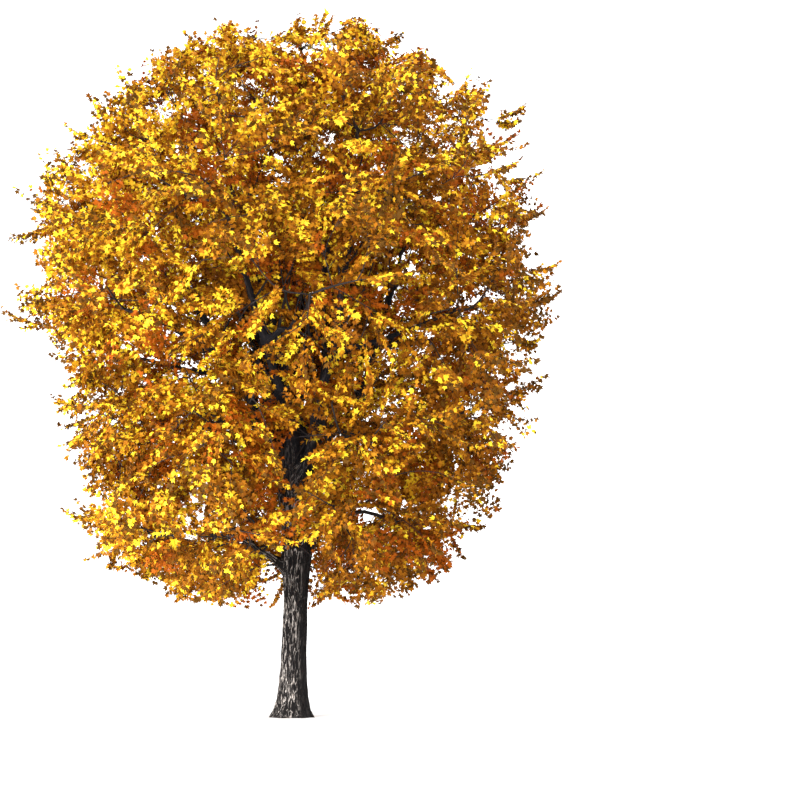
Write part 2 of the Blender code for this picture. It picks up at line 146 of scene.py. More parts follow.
bpy.ops.object.light_add(
    type="AREA", location=SOFTBOX_PLACE, rotation=aimed(Vector(SOFTBOX_AIM) - Vector(SOFTBOX_PLACE))
)
softbox = bpy.context.object
softbox.name = "softbox"
softbox.data.size = SOFTBOX_SIZE
softbox.data.energy = SOFTBOX_POWER

bpy.ops.mesh.primitive_circle_add(vertices=FLOOR_CORNERS, radius=FLOOR_RADIUS, fill_type="NGON")
floor = bpy.context.object
floor.name = "floor"
print("lamps:", sun.name, softbox.name, "floor:", floor.name)

# %% [markdown]
# ## Shader maths
#
# A finish such as bark is built from numbers that change over the surface: how deep a furrow is, how
# a streak fades. Such sums are easiest to read as sums. `Wire` holds a node's output, and each
# operator on it adds the Math node that works it out. `Finish` is a material in the making.

# %% Wires and finishes
class Wire:
    """A node's output, for use in expressions."""

    def __init__(self, finish, socket):
        self.finish = finish
        self.socket = socket

    def math(self, operation, first, second):
        return self.finish.node("ShaderNodeMath", {"operation": operation}, {0: first, 1: second})

    def __add__(self, other):
        return self.math("ADD", self, other)

    __radd__ = __add__

    def __mul__(self, other):
        return self.math("MULTIPLY", self, other)

    __rmul__ = __mul__

    def __sub__(self, other):
        return self.math("SUBTRACT", self, other)

    def __rsub__(self, other):
        return self.math("SUBTRACT", other, self)


class Finish:
    """A material whose nodes are added one by one."""

    def __init__(self, name, roughness):
        self.material = bpy.data.materials.new(name)
        self.material.use_nodes = True
        self.tree = self.material.node_tree
        self.shader = self.tree.nodes["Principled BSDF"]
        self.shader.inputs["Roughness"].default_value = roughness

    def put(self, socket, value):
        """A wire is linked to the socket, and anything else is its value."""
        if isinstance(value, Wire):
            self.tree.links.new(value.socket, socket)
        else:
            socket.default_value = value

    def node(self, kind, settings, values, output=0):
        made = self.tree.nodes.new(kind)
        for name, value in settings.items():
            setattr(made, name, value)
        for name, value in values.items():
            self.put(made.inputs[name], value)
        return Wire(self, made.outputs[output])

    def shade(self, **values):
        for name, value in values.items():
            self.put(self.shader.inputs[name.replace("_", " ")], value)

    def mix(self, share, first, second):
        """One colour laid over another by a share."""
        return self.node(
            "ShaderNodeMix", {"data_type": "RGBA"}, {0: share, 6: first, 7: second}, output=2
        )

    def spots(self, place, scale, detail, stretch=(1, 1, 1)):
        """A soft random pattern between 0 and 1, stretched along the place's own axes."""
        drawn = self.node("ShaderNodeVectorMath", {"operation": "MULTIPLY"}, {0: place, 1: stretch})
        return self.node("ShaderNodeTexNoise", {}, {"Vector": drawn, "Scale": scale, "Detail": detail})

    def net(self, place, scale, width, stretch):
        """A net of lines: 1 where a stretched pattern passes its middle value, and 0 away from there."""
        off_line = self.node(
            "ShaderNodeMath", {"operation": "ABSOLUTE"}, {0: self.spots(place, scale, 1, stretch) - 0.5}
        )
        return 1 - self.between(off_line, 0, width)

    def between(self, value, low, high):
        """How far a value has come from low to high, kept between 0 and 1."""
        return self.node(
            "ShaderNodeMapRange", {"interpolation_type": "SMOOTHSTEP"}, {0: value, 1: low, 2: high}
        )


print("wires ready")

# %% [markdown]
# ## The tree's own sizes
#
# The construction was worked out from a small set of sizes: the trunk's profile, and for each tier
# of the crown how many masses it has, how far they reach and how high their hearts are. The same
# sizes and rules stand here again, because the finer growth has to carry on from the same wood.
# Reading the stems back out of the solids' meshes would also work, but it would need guesswork,
# and a rule that is written down can be changed with the tree.

# %% Sizes of the trunk, tiers and boughs
SEED = 7
TRUNK_PROFILE = (
    (0.0, 0.56), (0.22, 0.475), (0.55, 0.425), (1.1, 0.385), (1.9, 0.355), (3.2, 0.34), (4.1, 0.365),
    (4.9, 0.315), (5.9, 0.25), (7.3, 0.245), (8.0, 0.225), (8.7, 0.16), (10.2, 0.125), (12.8, 0.095),
    (15.4, 0.06),
)
TRUNK_WANDER = (
    (0.0, 0.0, 0.0), (3.3, 0.09, 0.02), (6.3, 0.13, -0.02), (8.2, 0.03, 0.03), (15.4, 0.3, 0.0),
)
BUTTRESSES = 6
BUTTRESS_SWELL = 0.15
BUTTRESS_HEIGHT = 0.55

Tier = namedtuple(
    "Tier",
    "name count first_azimuth left_reach right_reach left_height right_height rise along across thick",
)
TIERS = (
    Tier("skirt", 6, 0, 6.8, 5.8, 5.35, 5.3, -2, 2.5, 2.8, 2.2),
    Tier("lower", 6, 0, 6.9, 7.3, 8.2, 7.9, 10, 2.5, 3.0, 2.2),
    Tier("middle", 6, 30, 8.3, 8.3, 10.7, 10.8, 16, 2.7, 3.2, 2.2),
    Tier("upper", 6, 0, 8.2, 7.4, 13.4, 13.7, 24, 2.8, 3.2, 2.3),
    Tier("high", 5, 18, 6.1, 6.0, 15.7, 16.3, 46, 2.6, 3.0, 2.3),
    Tier("top", 1, 0, 0.6, 0.6, 17.6, 17.6, 90, 2.7, 3.0, 2.9),
)

TRUNK_BOUGHS = {
    "skirt": {"first_height": 4.0, "step": 0.12, "leave": (24, 24), "arrive": (0, 0), "radius": 0.085},
    "upper": {"first_height": 4.4, "step": 0.5, "leave": (80, 42), "arrive": (45, 72), "radius": 0.16},
    "high": {"first_height": 6.5, "step": 0.45, "leave": (74, 76), "arrive": (60, 66), "radius": 0.12},
}
STEP_ORDER = {"skirt": (3, 2, 1, 0, 5, 4), "upper": (3, 2, 1, 0, 5, 4), "high": (0, 1, 2, 3, 4)}
SIDE_BOUGHS = {
    "lower": {"parent": "upper", "share": 0.3, "leave": (30, 24), "arrive": (8, 14), "radius": 0.75},
    "middle": {"parent": "upper", "share": 0.52, "leave": (45, 40), "arrive": (20, 18), "radius": 0.75},
}
BOUGH_TIP_RADIUS = 0.06
BOUGH_POINTS = 8
BOUGH_BEND = 0.36
BOUGH_WANDER = 0.06
BOUGH_TAPER = 0.8
COLLAR_SWELL = 0.35
COLLAR_LENGTH = 0.35

print("masses in each tier:", {tier.name: tier.count for tier in TIERS})

# %% Lines and ways
def unit(vector):
    """The same way at length one. It takes one vector or rows of them."""
    return vector / np.maximum(np.linalg.norm(vector, axis=-1, keepdims=True), 1e-9)


def between(table, value):
    """A table's other columns where its first has this value, or a row of them for each value."""
    table = np.asarray(table)
    return np.array([np.interp(value, table[:, 0], column) for column in table[:, 1:].T]).T


def lengths_along(points):
    """How far along a line each of its points is."""
    return np.append(0, np.cumsum(np.linalg.norm(np.diff(points, axis=0), axis=1)))


def along_line(stations, points, station):
    """The place at a station of a line, or a row of places."""
    return between(np.column_stack((stations, points)), station)


def level_way(azimuth):
    return np.array((math.cos(azimuth), math.sin(azimuth), 0))


def steep_way(azimuth, steepness):
    """The way that points out from the trunk and this steeply up, in degrees."""
    steep = math.radians(steepness)
    return level_way(azimuth) * math.cos(steep) + (0, 0, math.sin(steep))


def by_side(azimuth, left, right):
    """A value between the one for the tree's left and the one for its right."""
    leftness = (1 - math.cos(azimuth)) / 2
    return right + (left - right) * leftness


def trunk_axis(height):
    sideways, back = between(TRUNK_WANDER, height)
    return np.array((sideways, back, height))


print("trunk's axis at 6 m:", np.round(trunk_axis(6.0), 2).tolist())

# %% Where the masses sit
AZIMUTH_PLAY = 8.0
HEIGHT_PLAY = 0.45
REACH_PLAY = 0.25
FOOT_SHARE = 0.75

Mass = namedtuple("Mass", "name tier index azimuth heart turn half foot")


def mass_of(tier, index, chance):
    """Where one mass of foliage sits: its outer end lies on the crown's outline."""
    azimuth = math.radians(
        tier.first_azimuth + 360 * index / tier.count + chance.uniform(-AZIMUTH_PLAY, AZIMUTH_PLAY)
    )
    reach = by_side(azimuth, tier.left_reach, tier.right_reach)
    height = by_side(azimuth, tier.left_height, tier.right_height)
    reach += chance.uniform(-REACH_PLAY, REACH_PLAY)
    height += chance.uniform(-HEIGHT_PLAY, HEIGHT_PLAY)
    axis = steep_way(azimuth, tier.rise)
    across = np.array((-math.sin(azimuth), math.cos(azimuth), 0))
    inset = tier.along * math.cos(math.radians(tier.rise))
    heart = level_way(azimuth) * (reach - inset) + (0, 0, height)
    turn = np.array((axis, across, np.cross(axis, across)))
    half = np.array((tier.along, tier.across, tier.thick))
    foot = heart - axis * tier.along * FOOT_SHARE
    name = f"foliage_{tier.name}_{index + 1}"
    return Mass(name, tier.name, index, azimuth, heart, turn, half, foot)


def place_masses():
    chance = random.Random(SEED)
    return [mass_of(tier, index, chance) for tier in TIERS for index in range(tier.count)]


masses = place_masses()
hearts = np.array([mass.heart for mass in masses])
CROWN_HEART = np.array((0, 0, hearts[:, 2].mean()))
print("masses:", len(masses), "crown's heart:", np.round(CROWN_HEART, 2))

# %% The limbs' lines
Limb = namedtuple("Limb", "name points radii")


def bend(start, start_way, end, end_way, count):
    """Points along one smooth curve that leaves `start` and arrives at `end` in the ways given."""
    pull = np.linalg.norm(end - start) * BOUGH_BEND
    corners = (start, start + start_way * pull, end - end_way * pull, end)
    share = np.linspace(0, 1, count)[:, None]
    weights = ((1 - share) ** 3, 3 * share * (1 - share) ** 2, 3 * share**2 * (1 - share), share**3)
    return sum(weight * corner for weight, corner in zip(weights, corners))


def bough_limb(mass, start, rule, radius, buried):
    """A tapering limb from the wood at `start` to the foot of its mass, with a collar where it leaves."""
    name = mass.name.replace("foliage", "bough")
    leave, arrive = (
        steep_way(mass.azimuth, by_side(mass.azimuth, *rule[end])) for end in ("leave", "arrive")
    )
    points = bend(start, leave, mass.foot, arrive, BOUGH_POINTS)
    chance = random.Random(name)
    for place in points[1:-2]:
        place += [chance.uniform(-BOUGH_WANDER, BOUGH_WANDER) for _ in range(3)]
    gone = np.linalg.norm(points - start, axis=1)
    share = np.linspace(0, 1, BOUGH_POINTS)
    radii = BOUGH_TIP_RADIUS + (radius - BOUGH_TIP_RADIUS) * (1 - share) ** BOUGH_TAPER
    radii *= 1 + COLLAR_SWELL * np.exp(-np.maximum(gone - buried, 0) / COLLAR_LENGTH)
    return Limb(name, points, radii)


def grow_limbs():
    """The trunk, then every bough in an order where each one's parent comes first."""
    points = np.array([trunk_axis(height) for height, _ in TRUNK_PROFILE])
    points[-1] = masses[-1].foot
    limbs = {"trunk": Limb("trunk", points, np.array([radius for _, radius in TRUNK_PROFILE]))}
    for mass in masses:
        rule = TRUNK_BOUGHS.get(mass.tier)
        if rule:
            height = rule["first_height"] + rule["step"] * STEP_ORDER[mass.tier][mass.index]
            thick = float(between(TRUNK_PROFILE, height)[0])
            limb = bough_limb(mass, trunk_axis(height), rule, rule["radius"], thick)
            limbs[limb.name] = limb
    steps = np.arange(BOUGH_POINTS)
    for mass in masses:
        rule = SIDE_BOUGHS.get(mass.tier)
        if rule:
            parent = limbs[f"bough_{rule['parent']}_{mass.index + 1}"]
            place = rule["share"] * steps[-1]
            start = along_line(steps, parent.points, place)
            thick = float(np.interp(place, steps, parent.radii))
            limb = bough_limb(mass, start, rule, thick * rule["radius"], thick)
            limbs[limb.name] = limb
    return limbs


limbs = grow_limbs()
print("limbs:", len(limbs), "trunk to", round(float(limbs["trunk"].points[-1][2]), 2), "m")

# %% [markdown]
# ## Bark
#
# Silver maple bark is grey and thin when young. On the trunk it breaks into long, narrow ridges that
# run up the stem, part and join again, with dark furrows between them. A bump pattern alone would
# leave the trunk's edge as smooth as a pipe, so the ridges are real: a flat grid is rolled round
# each limb and pressed in, except where a stretched noise comes near zero, which gives just such a
# net. The place on the limb, round and along it, is kept with each corner, so that the finish can
# follow the limb round its bends. Where limbs meet, their skins are drawn out to one shared smooth
# surface, as the collar of a real branch is.

# %% A limb's line made fine
BARK_GRIDS = {
    "trunk": (160, 0.05), "skirt": (18, 0.07), "lower": (20, 0.06), "middle": (20, 0.06),
    "upper": (32, 0.05), "high": (26, 0.06),
}
TRUNK_TIP = 0.045


def smooth_line(points, radii, step):
    """More points on a smooth curve through the same points, with the radius at each."""
    padded = np.vstack((2 * points[0] - points[1], points, 2 * points[-1] - points[-2]))
    lengths = np.linalg.norm(np.diff(points, axis=0), axis=1)
    line, widths = [], []
    for number, length in enumerate(lengths):
        before, start, end, after = padded[number : number + 4]
        count = max(2, round(length / step))
        share = np.arange(count)[:, None] / count
        line.append(
            0.5 * (2 * start + (end - before) * share)
            + 0.5 * (2 * before - 5 * start + 4 * end - after) * share**2
            + 0.5 * (3 * start - before - 3 * end + after) * share**3
        )
        widths.append(radii[number] + (radii[number + 1] - radii[number]) * share[:, 0])
    return np.vstack((*line, points[-1:])), np.append(np.concatenate(widths), radii[-1])


def frames_along(line):
    """At each point of a line its way, and two ways square to it that don't twist."""
    ways = unit(np.gradient(line, axis=0))
    side = unit(np.cross(ways[0], (0.0, 1.0, 0.0)))
    sides = []
    for way in ways:
        side = unit(side - way * (side @ way))
        sides.append(side)
    return ways, np.array(sides), np.cross(ways, sides)


trunk_line, _ = smooth_line(limbs["trunk"].points, limbs["trunk"].radii, BARK_GRIDS["trunk"][1])
print("trunk line:", len(trunk_line), "rings")

# %% Ridges and collars
RIDGES = ((8.5, 1.3, 0.17, 1.0), (15.0, 2.6, 0.15, 0.75))
FURROW_DEPTH = 0.09
DEEPEST = 0.028
COLLAR_SMOOTHING = 0.1
REPEAT = 31.7
POINTS_AT_ONCE = 20000
# The side of every limb turned from the sun, on which the bark finish paints shade.
PAINTED_SHADE_SIDE = unit(np.array((0.9, 0.3, -0.25)))


def furrow_depth(places):
    """How deep the bark is pressed in at each place, from 0 on a ridge to 1 in a furrow."""
    ridge = np.zeros(len(places))
    for across, along, width, strength in RIDGES:
        drawn = places * (across, across, along) + across * REPEAT
        swell = np.array([noise.noise(place) for place in drawn.tolist()])
        ridge = np.maximum(ridge, strength * np.exp(-((swell / width) ** 2)))
    return 1 - ridge


def limb_gap(points, limb):
    """How far each point is from a limb's surface. Inside, it is less than nothing."""
    gaps = []
    for part in np.array_split(points, len(points) // POINTS_AT_ONCE + 1):
        start, step = limb.points[:-1], np.diff(limb.points, axis=0)
        offset = part[:, None] - start
        share = np.clip((offset * step).sum(2) / (step**2).sum(1), 0, 1)
        gap = np.linalg.norm(offset - share[..., None] * step, axis=2)
        gaps.append((gap - limb.radii[:-1] - share * np.diff(limb.radii)).min(1))
    return np.concatenate(gaps)


def collar_growth(points, own, others):
    """How far out each point is drawn, so that a limb's surface flows into the limbs it meets."""
    total = np.exp(-limb_gap(points, own) / COLLAR_SMOOTHING)
    for limb in others:
        total += np.exp(-np.maximum(limb_gap(points, limb), -COLLAR_SMOOTHING) / COLLAR_SMOOTHING)
    return np.clip(COLLAR_SMOOTHING * np.log(total), 0, COLLAR_SMOOTHING)


print("ridges:", [f"{1 / across:.2f} m apart" for across, _, _, _ in RIDGES])

# %% Rolling a grid round a limb
MEETING_ROOM = 0.3
COLLAR_ROUNDS = 2
WELD = 0.0001


def neighbours_of(limb):
    """The limbs that this one may meet: those whose line comes near its own."""
    others = [other for other in limbs.values() if other.name != limb.name]
    return [
        other for other in others
        if min(limb_gap(limb.points, other).min(), limb_gap(other.points, limb).min()) < MEETING_ROOM
    ]


def roll_bark(limb, around, step, tip_radius):
    """One limb's bark: a grid rolled round its line, with its furrows pressed in."""
    line, radii = smooth_line(limb.points, limb.radii, step)
    radii = np.minimum(radii, tip_radius + np.arange(len(radii))[::-1] * step)
    ways, sides, fronts = frames_along(line)
    bpy.ops.object.select_all(action="DESELECT")
    bpy.ops.mesh.primitive_grid_add(x_subdivisions=around, y_subdivisions=len(line) - 1, size=1)
    bark = bpy.context.object
    flat = np.empty(len(bark.data.vertices) * 3)
    bark.data.vertices.foreach_get("co", flat)
    flat = flat.reshape(-1, 3) + 0.5
    row = np.rint(flat[:, 1] * (len(line) - 1)).astype(int)
    angle = flat[:, 0] * 2 * math.pi
    out = np.cos(angle)[:, None] * sides[row] + np.sin(angle)[:, None] * fronts[row]
    height = line[row][:, 2]
    wide = radii[row]
    if limb.name == "trunk":
        swell = BUTTRESS_SWELL * np.exp(-height / BUTTRESS_HEIGHT)
        wide = wide * (1 + swell * np.cos(BUTTRESSES * np.arctan2(out[:, 1], out[:, 0])))
    points = line[row] + out * wide[:, None]
    others = neighbours_of(limb)
    for _ in range(COLLAR_ROUNDS):
        points = points + out * collar_growth(points, limb, others)[:, None]
    gone = lengths_along(line)[row]
    places = np.stack((np.cos(angle) * wide, np.sin(angle) * wide, gone), axis=1)
    depth = furrow_depth(places + len(limb.name) * REPEAT)
    points -= out * (depth * np.minimum(FURROW_DEPTH * wide, DEEPEST))[:, None]
    if limb.name == "trunk":
        points[:, 2] = np.maximum(points[:, 2], 0)
        points[row == 0, 2] = 0
    bark.data.vertices.foreach_set("co", points.ravel())
    # The last attribute says how far the bark faces away from the sun, for the painted shade on that side.
    for name, kind, key, values in (
        ("bark_place", "FLOAT_VECTOR", "vector", places.ravel()),
        ("furrow", "FLOAT", "value", depth),
        ("damp", "FLOAT", "value", out @ PAINTED_SHADE_SIDE),
    ):
        bark.data.attributes.new(name, kind, "POINT").data.foreach_set(key, values)
    bpy.ops.object.mode_set(mode="EDIT")
    bpy.ops.mesh.select_all(action="SELECT")
    bpy.ops.mesh.remove_doubles(threshold=WELD)
    bpy.ops.mesh.fill_holes(sides=0)
    bpy.ops.mesh.normals_make_consistent(inside=False)
    bpy.ops.object.mode_set(mode="OBJECT")
    bpy.ops.object.shade_smooth()
    return bark


def join(pieces, name):
    """Several objects made one, with its own name."""
    bpy.ops.object.select_all(action="DESELECT")
    for piece in pieces:
        piece.select_set(True)
    bpy.context.view_layer.objects.active = pieces[0]
    if len(pieces) > 1:
        bpy.ops.object.join()
    pieces[0].name = name
    return pieces[0]


def triangles(piece):
    return sum(len(face.vertices) - 2 for face in piece.data.polygons)


bark_pieces = {}
for part, (around, step) in BARK_GRIDS.items():
    tip = TRUNK_TIP if part == "trunk" else BOUGH_TIP_RADIUS
    own = [limb for limb in limbs.values() if part in limb.name.split("_")]
    name = "trunk_bark" if part == "trunk" else f"{part}_bough_bark"
    bark_pieces[part] = join([roll_bark(limb, around, step, tip) for limb in own], name)
    print(name, len(own), "limbs,", triangles(bark_pieces[part]), "triangles")

# %% [markdown]
# The bark's colour comes from the same ridges. Their crests are weathered pale grey where the outer
# flakes have worn off, and the furrows between them are nearly black. Two finer nets of ridges are
# drawn in colour and bump. Shade is painted on the side of each limb turned from the sun: there the
# pale crests fade and the faces darken towards the furrows' colour. Higher up the crests fade too
# and the bark is painted a dark bluish grey: partly smoother young bark, mostly painted shade of
# the crown. The pattern reads the place kept with each corner, stretched up the limb.

# %% Bark finish
CREST_COLOUR = (0.5, 0.45, 0.41, 1)
FACE_COLOUR = (0.05, 0.042, 0.038, 1)
FURROW_COLOUR = (0.008, 0.007, 0.007, 1)
# Painted shade of the crown: the higher wood darkens to this bluish grey, and its pale crests fade, partly
# as on smoother young bark.
CROWN_SHADE_COLOUR = (0.018, 0.017, 0.021, 1)
YOUNG_AND_SHADED_HEIGHTS = (4.5, 9.0)
YOUNG_AND_SHADED_SHARE = 0.8
CROWN_SHADE_COVER = 0.9
FINE_NET = {"scale": 15, "width": 0.06, "stretch": (1, 1, 0.13)}
FINEST_NET = {"scale": 32, "width": 0.07, "stretch": (1, 1, 0.16)}
WORN_PATCHES = {"scale": 3.0, "detail": 3, "stretch": (1, 1, 0.4)}
WORN_RANGE = (0.3, 0.62)
LEAST_WORN = 0.35
RIDGE_WEIGHT, FINE_WEIGHT, FINEST_WEIGHT = 0.4, 0.6, 0.4
CREST_RANGE = (0.4, 1.1)
FURROW_RANGE = (0.02, 0.5)
# Painted shade on the side of each limb turned from the sun: its range, strength and least share of pale
# faces.
PAINTED_SHADE_RANGE = (-0.3, 0.4)
PAINTED_SHADE_SHARE = 0.96
PAINTED_SHADE_LEAST = 0.3
BARK_BUMP = {"Strength": 0.8, "Distance": 0.015}
FINEST_BUMP = 0.5
SHEEN = 0.1


def bark_finish():
    finish = Finish("bark_finish", roughness=0.9)
    place = finish.node("ShaderNodeAttribute", {"attribute_name": "bark_place"}, {}, output=1)
    furrow = finish.node("ShaderNodeAttribute", {"attribute_name": "furrow"}, {}, output=2)
    damp = finish.node("ShaderNodeAttribute", {"attribute_name": "damp"}, {}, output=2)
    where = finish.node("ShaderNodeTexCoord", {}, {}, output=3)
    height = finish.node("ShaderNodeSeparateXYZ", {}, {0: where}, output=2)
    fine = finish.net(place, **FINE_NET)
    finest = finish.net(place, **FINEST_NET)
    worn = finish.between(finish.spots(place, **WORN_PATCHES), *WORN_RANGE)
    raised = (1 - furrow) * RIDGE_WEIGHT + fine * FINE_WEIGHT + finest * FINEST_WEIGHT
    crest = finish.between(raised, *CREST_RANGE)
    # Painted shade: the side turned from the sun loses its pale crests and darkens towards the furrows'
    # colour.
    sunny_side = 1 - finish.between(damp, *PAINTED_SHADE_RANGE) * PAINTED_SHADE_SHARE
    # Painted shade of the crown: with height the pale crests fade and the bark darkens to a bluish grey.
    old_and_unshaded = 1 - finish.between(height, *YOUNG_AND_SHADED_HEIGHTS) * YOUNG_AND_SHADED_SHARE
    pale = crest * (LEAST_WORN + worn * (1 - LEAST_WORN)) * old_and_unshaded * sunny_side
    faces = finish.mix(pale, FACE_COLOUR, CREST_COLOUR)
    face_share_and_painted_shade = finish.between(crest, *FURROW_RANGE) * (PAINTED_SHADE_LEAST + sunny_side * (1 - PAINTED_SHADE_LEAST))
    weathered_and_shade_side = finish.mix(face_share_and_painted_shade, FURROW_COLOUR, faces)
    colour = finish.mix((1 - old_and_unshaded) * CROWN_SHADE_COVER, weathered_and_shade_side, CROWN_SHADE_COLOUR)
    bump = finish.node("ShaderNodeBump", {}, {**BARK_BUMP, "Height": fine + finest * FINEST_BUMP})
    finish.shade(Base_Color=colour, Specular_IOR_Level=SHEEN, Normal=bump)
    return finish.material


bark_look = bark_finish()
for piece in bark_pieces.values():
    piece.data.materials.append(bark_look)
print("bark finish:", bark_look.name)

# %% [markdown]
# ## Twigs
#
# Inside a mass of foliage the bough goes on as a stem that forks again and again, each fork sending
# a leader straight ahead and others to the sides. The construction's rule is used once more, with
# the same places to reach: at most seven over the mass's outer face, each of which is kept only if
# the twig that leads to it stays in the mass's own space and clear of the limbs.

# %% Places for the twigs to reach
SPRAYS = 7
SITE_CHOICE = 60
SPRAY_DEPTH = 1.15
INNER_LIMIT = -0.2
CELL_MARGIN = 0.012
LIMB_MARGIN = 0.03
GOLDEN_ANGLE = math.pi * (3 - math.sqrt(5))


def in_space(points, mass, slack=1.0, overlap=0.0):
    """Whether each point lies in the mass's own space: in its round form and nearest its heart."""
    local = (points - mass.heart) @ mass.turn.T / mass.half
    inside = (local**2).sum(1) < slack**2
    towards = hearts - mass.heart
    apart = np.linalg.norm(towards, axis=1)
    others = apart > CELL_MARGIN
    beyond = (points - mass.heart) @ (towards[others] / apart[others, None]).T
    return inside & (beyond < apart[others] / 2 - CELL_MARGIN + overlap).all(1)


def clear_of_limbs(points, room):
    """Whether each point stands clear of the trunk and of every bough."""
    return np.all([limb_gap(points, limb) > room for limb in limbs.values()], axis=0)


def in_place(points, mass):
    return bool(in_space(points, mass).all() and clear_of_limbs(points, LIMB_MARGIN).all())


def spray_sites(mass):
    """Places spread wide just inside the mass's outer face, each with the face's normal there."""
    sites = []
    for index in range(SITE_CHOICE):
        height = 1 - 2 * (index + 0.5) / SITE_CHOICE
        ring = math.sqrt(1 - height**2)
        angle = GOLDEN_ANGLE * index + mass.azimuth
        local = np.array((height, ring * math.cos(angle), ring * math.sin(angle)))
        normal = unit((local / mass.half) @ mass.turn)
        site = mass.heart + (local * (mass.half - SPRAY_DEPTH)) @ mass.turn
        if normal @ unit(site - CROWN_HEART) > INNER_LIMIT and in_place(site[None], mass):
            sites.append((site, normal))
    chosen = [sites.pop(0)]
    while sites and len(chosen) < SPRAYS:
        gaps = [min(np.linalg.norm(site - other) for other, _ in chosen) for site, _ in sites]
        chosen.append(sites.pop(int(np.argmax(gaps))))
    return chosen


print("places in the first mass:", len(spray_sites(masses[0])))

# %% The rule that forks a stem
SHARP_TURN = 0.4
STEM_SHARE = 0.3
FORK_SHARE = 0.5
FORK_WAYS = 3
TWIG_TESTS = 8
TWIG_RADIUS = 0.014
TWIG_THICKENING = 0.66


def twig_radius(carried):
    return TWIG_RADIUS * carried**TWIG_THICKENING


def ramify(path, sites, twigs):
    """Leads a twig on to the sites straight ahead and sends off others to the rest, again and again."""
    places = np.array([site for site, _ in sites])
    start = path[-1][0]
    if len(sites) == 1:
        twigs.append((path + [(places[0], TWIG_RADIUS)], sites[0]))
        return
    middle = places.mean(0)
    fork = start + (middle - start) * FORK_SHARE
    radius = twig_radius(len(sites))
    way = unit(middle - start)
    spread = places - fork
    spread -= (spread @ way)[:, None] * way
    widest = np.linalg.svd(spread)[2][0]
    order = np.argsort(spread @ widest)
    groups = np.array_split(order, min(FORK_WAYS, len(order)))
    ahead = [unit(places[group].mean(0) - fork) @ way for group in groups]
    leader = int(np.argmax(ahead))
    if ahead[leader] < SHARP_TURN:
        twigs.append((path + [(fork, radius)], None))
        leader = None
    for number, group in enumerate(groups):
        part = [sites[index] for index in group]
        if number == leader:
            ramify(path + [(fork, radius)], part, twigs)
        else:
            ramify([(fork, twig_radius(len(group)))], part, twigs)


def limb_of(mass):
    """The bough that carries a mass. The topmost mass has none and sits on the trunk."""
    return limbs.get(mass.name.replace("foliage", "bough"), limbs["trunk"])


def grow_twigs(mass):
    """The twigs to all of a mass's sites, done again without each site whose twig leaves its space."""
    sites = spray_sites(mass)
    points = limb_of(mass).points
    way = np.array((0.0, 0.0, 1.0)) if mass.tier == "top" else unit(points[-1] - points[-2])
    stem_end = mass.foot + way * mass.half[0] * STEM_SHARE
    while True:
        stem = [(mass.foot, BOUGH_TIP_RADIUS), (stem_end, twig_radius(len(sites)))]
        twigs = []
        ramify(stem, sites, twigs)
        kept = []
        for path, site in twigs:
            knots = np.array([place for place, _ in path if place is not stem[0][0]])
            steps = np.linspace(knots[:-1], knots[1:], TWIG_TESTS).reshape(-1, 3)
            if site is not None and in_place(steps, mass):
                kept.append(site)
        if len(kept) == len(sites):
            return twigs
        sites = kept


twigs_of = {mass.name: grow_twigs(mass) for mass in masses}
print("twigs:", sum(len(twigs) for twigs in twigs_of.values()))

# %% [markdown]
# ## The crown's outline
#
# The crown isn't a ball: it is widest a little above half the tree's height, has a slight waist
# above its lowest tier and shoulders under a narrow top. The profile says for each height where its
# middle is, how far it reaches to the sides and how far to the front and back. Sprays, shoots and
# tip leaves are all measured by it, so a change here moves the whole outline.

# %% The crown's outline
CROWN_PROFILE = (
    (2.9, 0.0, 0.1, 0.1), (3.1, -0.2, 3.0, 3.0), (3.3, -0.2, 3.5, 3.4), (3.9, 0.0, 4.5, 4.3),
    (4.4, -0.4, 5.6, 5.2), (5.6, -0.4, 6.1, 5.7), (6.1, 0.0, 5.8, 5.6), (6.7, 0.05, 6.2, 6.0),
    (7.3, 0.05, 6.85, 6.4), (8.4, 0.2, 6.75, 6.5), (9.0, 0.2, 7.0, 6.8), (10.1, 0.1, 7.5, 7.2),
    (11.2, -0.15, 7.95, 7.6), (12.9, -0.3, 7.85, 7.5), (14.0, -0.5, 7.8, 7.5), (14.6, -0.2, 7.45, 7.2),
    (15.8, -0.05, 6.9, 6.4), (16.9, 0.4, 6.3, 5.6), (17.6, -0.1, 5.8, 4.8), (18.1, 0.0, 5.4, 4.2),
    (18.4, -0.2, 4.0, 3.2), (19.2, 0.05, 3.15, 2.4), (19.5, 1.0, 1.5, 1.1), (19.9, 0.9, 0.3, 0.3),
    (20.3, 0.9, 0.02, 0.02),
)


def share_of_reach(points):
    """How far out each place is: nothing on the crown's axis, and 1 on its outline."""
    middle, reach, depth = between(CROWN_PROFILE, points[:, 2]).T
    return np.hypot((points[:, 0] - middle) / reach, points[:, 1] / depth)


print("crown from", CROWN_PROFILE[0][0], "to", CROWN_PROFILE[-1][0], "m")

# %% [markdown]
# ## Sprays
#
# A spray is what a gardener would cut for a vase: an axis as long as an arm span, pairs of side
# shoots in one plane, and leaves in opposite pairs on all of them. Sprays sit along the outer
# length of the twigs, turned round them by the golden angle, as buds sit on a real shoot. One that
# would leave its mass's space is tried shorter, and left out if it still doesn't fit.
#
# Twigs alone would leave the crown a hollow ball, so two more kinds of branch fill its inside: thin
# ones that rise from each limb, or hang from some of the low ones, and the long, nearly upright and
# bare risers that show above the fork. Sprays grow on them too, but where two would crowd each
# other, the later one goes.

